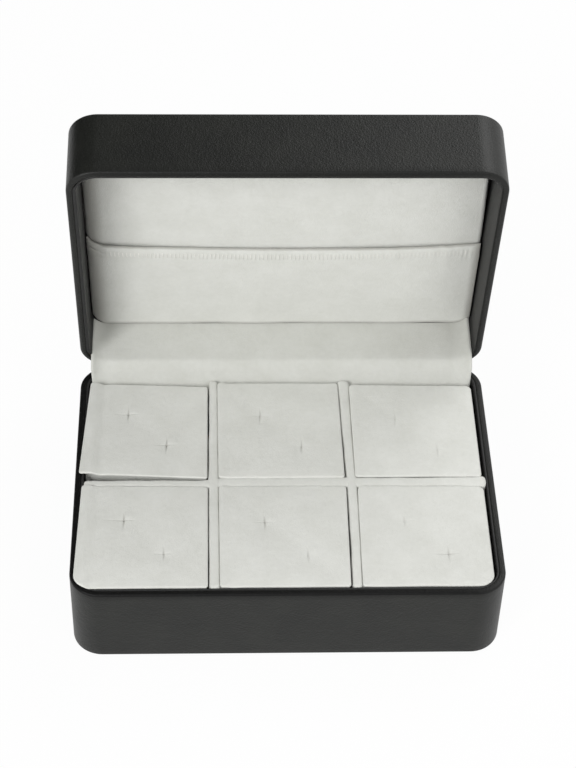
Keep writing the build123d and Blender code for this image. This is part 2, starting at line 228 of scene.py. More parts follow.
def swing_open(points: Points) -> Points:
    """Swing places of the shut lid open about the pin line.

    Args:
        points: Places with the lid shut, with X, Y and Z along the last axis.

    Returns:
        The same places with the lid open.
    """
    turn = radians(CASE.lid_opening)
    back, up = points[..., 1] - CASE.pin_y, points[..., 2] - CASE.pin_z
    return np.stack(
        [
            points[..., 0],
            CASE.pin_y + back * cos(turn) + up * sin(turn),
            CASE.pin_z + up * cos(turn) - back * sin(turn),
        ],
        axis=-1,
    )


def rounded_path(
    corners: Sequence[Sequence[float]], radii: Sequence[float], steps: int = 6
) -> Points:
    """Round the inner corners of an open run of straight lines.

    Each corner becomes an arc that touches both of its lines.  Its places turn from the
    first touching point to the second about the arc's centre, in equal steps.

    Args:
        corners: The run's corners, with its two ends.
        radii: The radius at each inner corner.
        steps: How many chords each arc has.

    Returns:
        The places along the rounded run.
    """
    places = np.asarray(corners, float)
    share = np.linspace(0.0, 1.0, steps + 1)[:, None]
    parts = [places[:1]]
    for before, corner, after, radius in zip(places, places[1:], places[2:], radii):
        back, onward = unit(before - corner), unit(after - corner)
        half = np.arccos(np.clip(back @ onward, -1.0, 1.0)) / 2.0
        centre = corner + unit(back + onward) * radius / np.sin(half)
        start = corner + back * radius / np.tan(half) - centre
        stop = corner + onward * radius / np.tan(half) - centre
        turn = pi - 2.0 * half
        arc = (np.sin((1.0 - share) * turn) * start + np.sin(share * turn) * stop) / np.sin(turn)
        parts.append(centre + arc)
    parts.append(places[-1:])
    return np.concatenate(parts)


def split_long(profile: Points, near: float = 2.6) -> Points:
    """Add places near both ends of a profile's long straight parts.

    They keep the smooth shading of a rounded edge away from the flat part beside it.

    Args:
        profile: The profile's places.
        near: How far from each end the new places are.

    Returns:
        The profile with its new places.
    """
    parts = []
    for start, stop in zip(profile, np.roll(profile, -1, axis=0)):
        length = float(np.linalg.norm(stop - start))
        parts.append(start[None])
        if length > 3.0 * near:
            share = np.array([[near / length], [1.0 - near / length]])
            parts.append(start + (stop - start) * share)
    return np.concatenate(parts)


@dataclass(frozen=True)
class Outline:
    """A closed plan of four straight sides with rounded corners.

    Corners go round from the front left by the front right.  A loop of it starts in the
    middle of the first corner, so it splits into four sides of known counts.
    """

    corners: tuple[Pair, ...]
    radii: tuple[float, float, float, float]
    across: tuple[float, ...]
    along: tuple[float, ...]
    arc_steps: int = 5

    @property
    def sides(self) -> tuple[int, int]:
        """Give how many steps a loop has along its front and along its right side."""
        bends = 2 * self.arc_steps + 1
        return bends + len(self.across), bends + len(self.along)

    def loop(self) -> tuple[Points, Points]:
        """Work out the loop.

        A corner's arc is centre + radius (cos, sin) of an angle that grows evenly, and a
        side is a straight line between two arcs, divided at the given shares.

        Returns:
            The places of the loop, and the outward direction at each.
        """
        corners, radii = np.asarray(self.corners, float), np.asarray(self.radii, float)
        ahead = unit(np.roll(corners, -1, axis=0) - corners)
        behind = np.roll(ahead, 1, axis=0)
        turn = np.arccos(np.clip((ahead * behind).sum(axis=1), -1.0, 1.0))
        inward = np.stack([-behind[:, 1], behind[:, 0]], axis=1)
        reach = radii * np.tan(turn / 2.0)
        centres = corners - behind * reach[:, None] + inward * radii[:, None]
        first = np.arctan2(-inward[:, 1], -inward[:, 0])

        def arc(corner: int, shares: Points) -> tuple[Points, Points]:
            """Give a part of a corner's arc, and its outward directions.

            Args:
                corner: Which corner.
                shares: The shares of the arc to work out.

            Returns:
                The places, and the outward direction at each.
            """
            angles = first[corner] + turn[corner] * shares
            outward = np.stack([np.cos(angles), np.sin(angles)], axis=1)
            return centres[corner] + radii[corner] * outward, outward

        places, directions = [], []
        for side in range(4):
            shares = np.asarray(self.along if side % 2 else self.across, float)
            shares = 1.0 - shares[::-1] if side >= 2 else shares
            leaving, leaving_out = arc(side, np.linspace(0.5, 1.0, self.arc_steps + 1))
            arriving, arriving_out = arc(
                (side + 1) % 4, np.linspace(0.0, 0.5, self.arc_steps + 1)[:-1]
            )
            straight = leaving[-1] + (arriving[0] - leaving[-1]) * shares[:, None]
            straight_out = np.broadcast_to(leaving_out[-1], straight.shape)
            places += [leaving, straight, arriving]
            directions += [leaving_out, straight_out, arriving_out]
        return np.concatenate(places), np.concatenate(directions)


def case_plan(across: Points, along: Points, arc_steps: int) -> Outline:
    """Give the plan of the case's outer faces.

    Args:
        across: Shares of its front and rear sides that get places.
        along: Shares of its left and right sides that get places.
        arc_steps: How many steps each corner's arc has.

    Returns:
        The plan.
    """
    x, y = CASE.width / 2, CASE.depth / 2
    corners = ((-x, -y), (x, -y), (x, y), (-x, y))
    return Outline(corners, (CASE.corner_radius,) * 4, tuple(across), tuple(along), arc_steps)


def rings(outline: Outline, insets: Points, heights: Points) -> Points:
    """Stack loops of a plan, each moved inwards and set at a height.

    A place is the plan's place minus its outward direction times the inset.

    Args:
        outline: The plan.
        insets: The inset of each ring, or of each place of each ring.
        heights: The height of each ring, or of each place of each ring.

    Returns:
        The places, by ring and by place along the loop.
    """
    places, outward = outline.loop()
    count = len(places)
    insets, heights = (
        np.broadcast_to(np.asarray(value, float).reshape(len(value), -1), (len(value), count))
        for value in (insets, heights)
    )
    plan = places[None] - outward[None] * insets[..., None]
    return np.concatenate([plan, heights[..., None]], axis=-1)


def tube_faces(rows: int, columns: int, joined: bool = False) -> Faces:
    """Give the faces between neighbouring loops.

    Args:
        rows: How many loops there are.
        columns: How many places each loop has.
        joined: Whether the last loop joins the first.

    Returns:
        Four indices for each face.
    """
    row = np.arange(rows if joined else rows - 1)[:, None]
    column = np.arange(columns)[None, :]
    below, beside = (row + 1) % rows, (column + 1) % columns
    corners = [row * columns + column, below * columns + column]
    corners += [below * columns + beside, row * columns + beside]
    return np.stack(corners, axis=-1).reshape(-1, 4)


def patch(loop: Points, sides: tuple[int, int]) -> Points:
    """Fill a loop with a grid of places.

    Each place is the blend of the front and rear sides, plus the blend of the left and
    right sides, minus the blend of the four corners.

    Args:
        loop: The loop's places, from the front left corner.
        sides: Its steps along its front and along its right side.

    Returns:
        The grid, from the front to the rear and from left to right.
    """
    across, along = sides
    ring = np.concatenate([loop, loop[:1]])
    front, right = ring[: across + 1], ring[across : across + along + 1]
    rear = ring[across + along : 2 * across + along + 1][::-1]
    left = ring[2 * across + along :][::-1]
    chord, rise = front[-1] - front[0], left[-1] - left[0]
    u = ((front - front[0]) @ chord / (chord @ chord))[None, :, None]
    v = ((left - left[0]) @ rise / (rise @ rise))[:, None, None]
    sides_blend = (1 - v) * front[None] + v * rear[None]
    sides_blend = sides_blend + (1 - u) * left[:, None] + u * right[:, None]
    corner_blend = (1 - v) * ((1 - u) * front[0] + u * front[-1])
    corner_blend = corner_blend + v * ((1 - u) * rear[0] + u * rear[-1])
    return sides_blend - corner_blend


def patch_places(start: int, sides: tuple[int, int], fresh: int) -> Faces:
    """Number the places of a patch.

    Args:
        start: The number of the loop's first place.
        sides: The loop's steps along its front and along its right side.
        fresh: The number of the first place inside the loop.

    Returns:
        The number of each place of the patch's grid.
    """
    across, along = sides
    ring = start + np.append(np.arange(2 * (across + along)), 0)
    grid = np.empty((along + 1, across + 1), np.int64)
    grid[0], grid[:, -1] = ring[: across + 1], ring[across : across + along + 1]
    grid[-1] = ring[across + along : 2 * across + along + 1][::-1]
    grid[:, 0] = ring[2 * across + along :][::-1]
    inside = (along - 1) * (across - 1)
    grid[1:-1, 1:-1] = fresh + np.arange(inside).reshape(along - 1, across - 1)
    return grid


def grid_faces(grid: Faces) -> Faces:
    """Give the faces of a grid of numbered places."""
    corners = [grid[:-1, :-1], grid[:-1, 1:], grid[1:, 1:], grid[1:, :-1]]
    return np.stack(corners, axis=-1).reshape(-1, 4)


def outwards(points: Points, faces: Faces) -> Faces:
    """Turn a closed shell's faces outwards.

    The shell's volume is a sixth of the sum, over its triangles, of the first corner dot
    the cross product of the other two.  Where it is negative the faces are reversed.

    Args:
        points: The shell's places.
        faces: Its four-sided faces, which all turn the same way.

    Returns:
        The faces, seen from outside.
    """
    a, b, c, d = (points[faces[:, corner]] for corner in range(4))
    volume = (a * np.cross(b, c)).sum() + (a * np.cross(c, d)).sum()
    return faces if volume > 0 else faces[:, ::-1]


def capped_tube(loops: Points, sides: tuple[int, int]) -> tuple[Points, Faces, Faces]:
    """Make a closed shell from loops, with a patch over the first and the last.

    Args:
        loops: The places, by loop and by place along the loop.
        sides: A loop's steps along its front and along its right side.

    Returns:
        The shell's places, its faces, and the numbers of the first patch's places.
    """
    rows, columns = loops.shape[:2]
    body = loops.reshape(-1, 3)
    inside = (sides[0] - 1) * (sides[1] - 1)
    first = patch_places(0, sides, len(body))
    last = patch_places((rows - 1) * columns, sides, len(body) + inside)
    fillings = [patch(loops[row], sides)[1:-1, 1:-1].reshape(-1, 3) for row in (0, -1)]
    points = np.concatenate([body, *fillings])
    faces = np.concatenate(
        [tube_faces(rows, columns), grid_faces(first), grid_faces(last)[:, ::-1]]
    )
    return points, outwards(points, faces), first


def ladder_tube(loops: Points) -> tuple[Points, Faces]:
    """Make a closed shell from loops that are closed across themselves at both ends.

    Each loop goes along one side and comes back along the other, so that its first place
    faces its last.

    Args:
        loops: The places, by loop and by place along the loop.

    Returns:
        The shell's places and faces.
    """
    rows, columns = loops.shape[:2]
    step = np.arange(columns // 2 - 1)
    rungs = np.stack([step, step + 1, columns - 2 - step, columns - 1 - step], axis=1)
    last = (rows - 1) * columns + rungs[:, ::-1]
    points = loops.reshape(-1, 3)
    faces = np.concatenate([tube_faces(rows, columns), rungs, last])
    return points, outwards(points, faces)


def sheet_loops(middle: Points, thickness: Points) -> Points:
    """Give a cloth its thickness.

    The cloth's normal is the cross product of its two slopes, and each face of the cloth
    is its middle surface plus or minus half the thickness along that normal.

    Args:
        middle: The cloth's middle surface, by row and by place across.
        thickness: The thickness at each place.

    Returns:
        Loops that go across the outer face and come back along the inner one.
    """
    slopes = np.gradient(middle, axis=0), np.gradient(middle, axis=1)
    normal = unit(np.cross(slopes[1], slopes[0]))
    half = thickness[..., None] / 2.0
    return np.concatenate([middle + normal * half, (middle - normal * half)[:, ::-1]], axis=1)


def thread_loops(path: Points, radius: float, sides: int = 6) -> Points:
    """Carry a round section along a path.

    The section's two directions are the path's direction crossed with +Y, and that
    result crossed with the path's direction again.

    Args:
        path: The places along the thread.
        radius: The thread's radius.
        sides: How many sides the section has.

    Returns:
        The loops round the path.
    """
    ahead = unit(np.gradient(path, axis=0))
    across = unit(np.cross(ahead, np.array([0.0, 1.0, 0.0])))
    other = np.cross(ahead, across)
    angles = (2.0 * pi * np.arange(sides) / sides)[None, :, None]
    spokes = np.cos(angles) * across[:, None] + np.sin(angles) * other[:, None]
    return path[:, None] + radius * spokes


def both_faces(values: Points) -> Points:
    """Give what a cloth's outer face carries to both faces of the loops of its sheet."""
    return np.concatenate([values, values[:, ::-1]], axis=1).ravel()


def flat_cloth(across: Points, along: Points, apart: float) -> Points:
    """Lay both faces of a cloth's loops out flat, the inner one this far from the outer."""
    flat = np.stack([across, along], axis=-1)
    return np.concatenate([flat, flat[:, ::-1] + (0.0, apart)], axis=1).reshape(-1, 2)


def make_piece(
    name: str,
    points: Points,
    faces: Faces,
    cloth: Points | None = None,
    marks: dict[str, Points] | None = None,
) -> bpy.types.Object:
    """Put a worked-out shape into the scene as a smooth mesh.

    Args:
        name: The piece's name.
        points: Its places in millimetres.
        faces: Its four-sided faces.
        cloth: Where each place lies on the flat cloth, in millimetres.
        marks: Values from 0 to 1 that its finish reads at each place.

    Returns:
        The new piece, at the origin.
    """
    mesh = bpy.data.meshes.new(name)
    mesh.vertices.add(len(points))
    mesh.vertices.foreach_set("co", (points * MM).astype(np.float32).ravel())
    mesh.loops.add(faces.size)
    mesh.loops.foreach_set("vertex_index", faces.astype(np.int32).ravel())
    mesh.polygons.add(len(faces))
    mesh.polygons.foreach_set("loop_start", np.arange(0, faces.size, 4, dtype=np.int32))
    mesh.polygons.foreach_set("use_smooth", np.ones(len(faces), bool))
    mesh.update(calc_edges=True)
    if cloth is not None:
        layer = mesh.uv_layers.new(name="cloth")
        layer.data.foreach_set("uv", (cloth[faces.ravel()] * MM).astype(np.float32).ravel())
    for key, values in (marks or {}).items():
        attribute = mesh.attributes.new(key, "FLOAT", "POINT")
        attribute.data.foreach_set("value", values.astype(np.float32))
    piece = bpy.data.objects.new(name, mesh)
    bpy.context.scene.collection.objects.link(piece)
    return piece


# ------------------------------ finishes


class Pattern(Enum):
    """Where a finish takes the places of its pattern from."""

    BODY = "Object"
    CLOTH = "UV"


class Recipe:
    """A material's nodes, with short ways to add and join them."""

    def __init__(self, name: str, pattern: Pattern = Pattern.BODY) -> None:
        """Start a material with a surface shader and its pattern's places.

        Args:
            name: The material's name.
            pattern: Where the pattern's places come from.
        """
        self.material = bpy.data.materials.new(name)
        self.material.use_nodes = True
        self.tree = self.material.node_tree
        self.shader = self.tree.nodes["Principled BSDF"]
        self.places = self.add("ShaderNodeTexCoord").outputs[pattern.value]

    def add(self, kind: str, **settings: Any) -> bpy.types.Node:
        """Add a node.

        Args:
            kind: The node's type.
            settings: Properties of the node to set.

        Returns:
            The new node.
        """
        node = self.tree.nodes.new(kind)
        for key, value in settings.items():
            setattr(node, key, value)
        return node

    def set(self, **values: Any) -> None:
        """Set sockets of the shader; an underscore in a name stands for a space."""
        for key, value in values.items():
            self.shader.inputs[key.replace("_", " ")].default_value = value

    def join(self, source: Socket, target: Socket) -> None:
        """Join one socket to another."""
        self.tree.links.new(source, target)

    def noise(self, size: float, detail: float = 2.0, roughness: float = 0.5) -> Socket:
        """Add a noise.

        Args:
            size: How many millimetres its features are across.
            detail: How many finer noises are laid over it.
            roughness: How strong the finer ones are.

        Returns:
            The noise, from 0 to 1.
        """
        node = self.add("ShaderNodeTexNoise")
        node.inputs["Scale"].default_value = 1.0 / (size * MM)
        node.inputs["Detail"].default_value = detail
        node.inputs["Roughness"].default_value = roughness
        self.join(self.places, node.inputs["Vector"])
        return node.outputs["Fac"]

    def pebbles(self, size: float) -> Socket:
        """Add the smooth cells of a pebbled grain.

        Args:
            size: How many millimetres the cells are across.

        Returns:
            The distance from the nearest cell's middle.
        """
        node = self.add("ShaderNodeTexVoronoi", feature="SMOOTH_F1")
        node.inputs["Scale"].default_value = 1.0 / (size * MM)
        node.inputs["Smoothness"].default_value = 0.6
        self.join(self.places, node.inputs["Vector"])
        return node.outputs["Distance"]

    def sum(self, *parts: tuple[float, Socket]) -> Socket:
        """Add up patterns, each times its weight.

        Args:
            parts: A weight and a pattern for each part.

        Returns:
            The sum.
        """
        total = None
        for weight, socket in parts:
            node = self.add("ShaderNodeMath", operation="MULTIPLY_ADD")
            self.join(socket, node.inputs[0])
            node.inputs[1].default_value = weight
            node.inputs[2].default_value = 0.0
            if total is not None:
                self.join(total, node.inputs[2])
            total = node.outputs[0]
        return total

    def between(
        self, pattern: Socket, low: float, high: float, first: float = 0.0, second: float = 1.0
    ) -> Socket:
        """Map a pattern's range onto another, and hold it there.

        Args:
            pattern: The pattern.
            low: Where its range starts.
            high: Where its range ends.
            first: What it gives at the start.
            second: What it gives at the end.

        Returns:
            The mapped pattern.
        """
        node = self.add("ShaderNodeMapRange")
        for index, value in enumerate((low, high, first, second), start=1):
            node.inputs[index].default_value = value
        self.join(pattern, node.inputs[0])
        return node.outputs[0]

    def colour(self, pattern: Socket, dark: Colour, light: Colour) -> None:
        """Colour the surface by a pattern.

        Args:
            pattern: The pattern, from 0 to 1.
            dark: The colour at 0.
            light: The colour at 1.
        """
        node = self.add("ShaderNodeMix", data_type="RGBA")
        node.inputs[6].default_value = (*dark, 1.0)
        node.inputs[7].default_value = (*light, 1.0)
        self.join(pattern, node.inputs[0])
        self.join(node.outputs[2], self.shader.inputs["Base Color"])

    def mottle(self, pattern: Socket, dark: Colour, light: Colour, ends: Pair = MIDDLE) -> None:
        """Colour the surface by the middle part of a pattern's range, between two ends."""
        self.colour(self.between(pattern, *ends), dark, light)

    def mark(self, name: str) -> Socket:
        """Read a value that the piece's shape carries at each of its places."""
        return self.add("ShaderNodeAttribute", attribute_name=name).outputs["Fac"]

    def shade(self, name: str, tone: Colour) -> None:
        """Turn the colour to another tone where the piece carries a mark.

        Args:
            name: The mark.
            tone: The colour where the mark is 1.
        """
        node = self.add("ShaderNodeMix", data_type="RGBA")
        node.inputs[7].default_value = (*tone, 1.0)
        base = self.shader.inputs["Base Color"]
        self.join(base.links[0].from_socket, node.inputs[6])
        self.join(self.mark(name), node.inputs[0])
        self.join(node.outputs[2], base)

    def relief(self, pattern: Socket, depth: float) -> None:
        """Give the surface a fine relief.

        Args:
            pattern: The relief's heights.
            depth: How many millimetres a height of 1 stands for.
        """
        node = self.add("ShaderNodeBump")
        node.inputs["Strength"].default_value = 1.0
        node.inputs["Distance"].default_value = depth * MM
        self.join(pattern, node.inputs["Height"])
        self.join(node.outputs["Normal"], self.shader.inputs["Normal"])


class Finish(Protocol):
    """What every finish can do."""

    def recipe(self) -> Recipe:
        """Mix the finish's material."""
        ...


@dataclass(frozen=True)
class Leatherette:
    """Black leatherette: a fine pebbled grain with a low sheen, and painted shade along its rim.
    """

    dark: Colour = (0.006, 0.0066, 0.0055)
    light: Colour = (0.0105, 0.0112, 0.0092)
    # Painted shade: the rim's darker tone, which with its lower gloss stands in for the shade on
    # the rim.
    dents_and_rim_shade: Colour = (0.0035, 0.0035, 0.0034)
    gloss: Pair = (0.32, 0.14)
    grain: float = 0.62
    depth: float = 0.075

    def recipe(self) -> Recipe:
        """Mix the finish's material.

        Returns:
            The material's nodes.
        """
        mix = Recipe("leatherette")
        mix.set(Roughness=0.43)
        cloudy = mix.noise(14.0, detail=3.0)
        pores = mix.pebbles(self.grain)
        fine = mix.noise(0.22, detail=2.0)
        mix.mottle(mix.sum((0.7, cloudy), (0.3, fine)), self.dark, self.light)
        # Painted shade: the rim turns darker and less glossy where its mark says.
        mix.shade(RIM_SHADE_MARK, self.dents_and_rim_shade)
        gloss = mix.between(mix.mark(RIM_SHADE_MARK), 0.0, 1.0, *self.gloss)
        mix.join(gloss, mix.shader.inputs["Specular IOR Level"])
        mix.relief(mix.sum((1.0, pores), (0.5, fine), (1.2, mix.noise(2.6))), self.depth)
        return mix


@dataclass(frozen=True)
class Velvet:
    """Short-pile velvet: pale, matt, faintly blotched where the pile lies over, with painted shade
    where its mark says.
    """

    dark: Colour = (0.615, 0.62, 0.58)
    light: Colour = (0.675, 0.68, 0.645)
    # The tone of the painted shade, and of the darker ground where the pile parts in the slits.
    parted_and_shaded: Colour = (0.2, 0.19, 0.165)
    name: str = "velvet"
    pattern: Pattern = Pattern.BODY
    ends: Pair = (0.36, 0.64)
    depth: float = 0.12

    def recipe(self) -> Recipe:
        """Mix the finish's material.

        Returns:
            The material's nodes.
        """
        mix = Recipe(self.name, self.pattern)
        mix.set(Roughness=0.95, Specular_IOR_Level=0.15, Sheen_Weight=0.25, Sheen_Roughness=0.6)
        brushed = mix.noise(11.0, detail=4.0, roughness=0.6)
        mottle = mix.noise(1.9, detail=2.0)
        pile = mix.noise(0.32, detail=2.0)
        tone = mix.sum((0.55, brushed), (0.25, mottle), (0.2, pile))
        mix.mottle(tone, self.dark, self.light, self.ends)
        # Painted shade, where the piece's mark says.
        mix.shade(SHADE_AND_PARTING_MARK, self.parted_and_shaded)
        mix.relief(mix.sum((1.0, pile), (1.0, mottle)), self.depth)
        return mix


@dataclass(frozen=True)
class LiningPaper:
    """Matt black lining paper with a faint fibre."""

    dark: Colour = (0.007, 0.007, 0.007)
    light: Colour = (0.016, 0.016, 0.0155)
    depth: float = 0.04

    def recipe(self) -> Recipe:
        """Mix the finish's material.

        Returns:
            The material's nodes.
        """
        mix = Recipe("lining_paper")
        mix.set(Roughness=0.6, Specular_IOR_Level=0.42)
        fibre = mix.noise(0.7, detail=5.0, roughness=0.7)
        mix.mottle(fibre, self.dark, self.light)
        mix.relief(fibre, self.depth)
        return mix


@dataclass(frozen=True)
class Board:
    """Pressed board: flecked fibre with a dull, slightly rough face."""

    name: str
    dark: Colour
    light: Colour
    fleck: float = 0.9
    depth: float = 0.06

    def recipe(self) -> Recipe:
        """Mix the finish's material.

        Returns:
            The material's nodes.
        """
        mix = Recipe(self.name)
        mix.set(Roughness=0.9, Specular_IOR_Level=0.2)
        fibre = mix.noise(self.fleck, detail=6.0, roughness=0.7)
        tone = mix.sum((0.6, fibre), (0.4, mix.noise(9.0, detail=3.0)))
        mix.mottle(tone, self.dark, self.light)
        mix.relief(fibre, self.depth)
        return mix


@dataclass(frozen=True)
class Elastic:
    """Flat woven elastic: fine ribs across the strip."""

    dark: Colour = (0.5, 0.5, 0.47)
    light: Colour = (0.72, 0.72, 0.69)
    rib: float = 0.9
    unevenness: float = 0.4
    depth: float = 0.08

    def recipe(self) -> Recipe:
        """Mix the finish's material.

        Returns:
            The material's nodes.
        """
        mix = Recipe("elastic")
        mix.set(Roughness=0.8, Specular_IOR_Level=0.3)
        ribs = mix.add("ShaderNodeTexWave", wave_type="BANDS", bands_direction="X")
        ribs.inputs["Scale"].default_value = WAVE_SCALE / (self.rib * MM)
        ribs.inputs["Distortion"].default_value = self.unevenness
        mix.join(mix.places, ribs.inputs["Vector"])
        mix.colour(ribs.outputs["Fac"], self.dark, self.light)
        mix.relief(ribs.outputs["Fac"], self.depth)
        return mix


@dataclass(frozen=True)
class NickelledSteel:
    """Nickelled steel strip: fine brushing along its length and faint wear."""

    dark: Colour = (0.42, 0.41, 0.39)
    light: Colour = (0.62, 0.61, 0.58)
    roughness: Pair = (0.28, 0.46)
    stretch: float = 0.06
    line: float = 0.25
    depth: float = 0.01

    def recipe(self) -> Recipe:
        """Mix the finish's material.

        Returns:
            The material's nodes.
        """
        mix = Recipe("hinge_steel")
        mix.set(Metallic=1.0)
        stretch = mix.add("ShaderNodeMapping")
        stretch.inputs["Scale"].default_value = (self.stretch, 1.0, 1.0)
        mix.join(mix.places, stretch.inputs["Vector"])
        brushing = mix.add("ShaderNodeTexNoise")
        brushing.inputs["Scale"].default_value = 1.0 / (self.line * MM)
        brushing.inputs["Detail"].default_value = 3.0
        mix.join(stretch.outputs[0], brushing.inputs["Vector"])
        worn = mix.noise(5.0, detail=3.0)
        tone = mix.sum((0.5, brushing.outputs["Fac"]), (0.5, worn))
        mix.mottle(tone, self.dark, self.light)
        mix.join(mix.between(tone, 0.3, 0.7, *self.roughness), mix.shader.inputs["Roughness"])
        mix.relief(brushing.outputs["Fac"], self.depth)
        return mix


@dataclass(frozen=True)
class Thread:
    """Spun sewing thread: a soft twist in a paler tone than the cloth."""

    dark: Colour = (0.72, 0.71, 0.67)
    light: Colour = (0.86, 0.85, 0.81)
    depth: float = 0.04

    def recipe(self) -> Recipe:
        """Mix the finish's material.

        Returns:
            The material's nodes.
        """
        mix = Recipe("thread")
        mix.set(Roughness=0.7, Specular_IOR_Level=0.3)
        twist = mix.noise(0.3, detail=2.0)
        mix.mottle(twist, self.dark, self.light)
        mix.relief(twist, self.depth)
        return mix


@cache
def material_of(finish: Finish) -> bpy.types.Material:
    """Give a finish's material, which is mixed once."""
    return finish.recipe().material


def dress(piece: bpy.types.Object, finish: Finish) -> bpy.types.Object:
    """Cover a piece with a finish.

    Args:
        piece: The piece.
        finish: Its finish.

    Returns:
        The same piece.
    """
    piece.data.materials.clear()
    piece.data.materials.append(material_of(finish))
    return piece


def dress_nodes(names: Sequence[str], finish: Finish) -> None:
    """Cover pieces of the frame that keep their own shape.

    Args:
        names: The nodes' names.
        finish: Their finish.
    """
    for name in names:
        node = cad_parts[name]
        node.data.materials.clear()
        node.data.materials.append(material_of(finish))
    log.info("dressed %s", ", ".join(names))


def seat(piece: bpy.types.Object, body: str, *stands_for: str) -> bpy.types.Object:
    """Let a finished piece ride on a body in place of the nodes that it stands for.

    Args:
        piece: The piece.
        body: The body that carries it.
        stands_for: The nodes that it replaces.

    Returns:
        The same piece.
    """
    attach(piece, body)
    if stands_for:
        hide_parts(*stands_for)
    log.info("made %s: %d faces, on %s", piece.name, len(piece.data.polygons), body)
    return piece


LEATHERETTE = Leatherette()
VELVET = Velvet()
VELVET_CLOTH = Velvet(name="velvet_pocket", pattern=Pattern.CLOTH)
# Painted shade: the same velvet a shade darker, so that the flap reads less lit than the cushions.
VELVET_FLAP_SHADED = Velvet(
    (0.555, 0.56, 0.52), (0.61, 0.615, 0.58), name="velvet_flap_shaded", pattern=Pattern.CLOTH
)
LINING_PAPER = LiningPaper()
FIBREBOARD = Board("fibreboard", (0.24, 0.155, 0.085), (0.4, 0.28, 0.17))
CARD = Board("card", (0.36, 0.335, 0.295), (0.5, 0.47, 0.42), fleck=0.6)
ELASTIC = Elastic()
STEEL = NickelledSteel()
THREAD = Thread()


# ------------------------------ case


class Half(Enum):
    """The two halves of the case."""

    BASE = "base"
    LID = "lid"


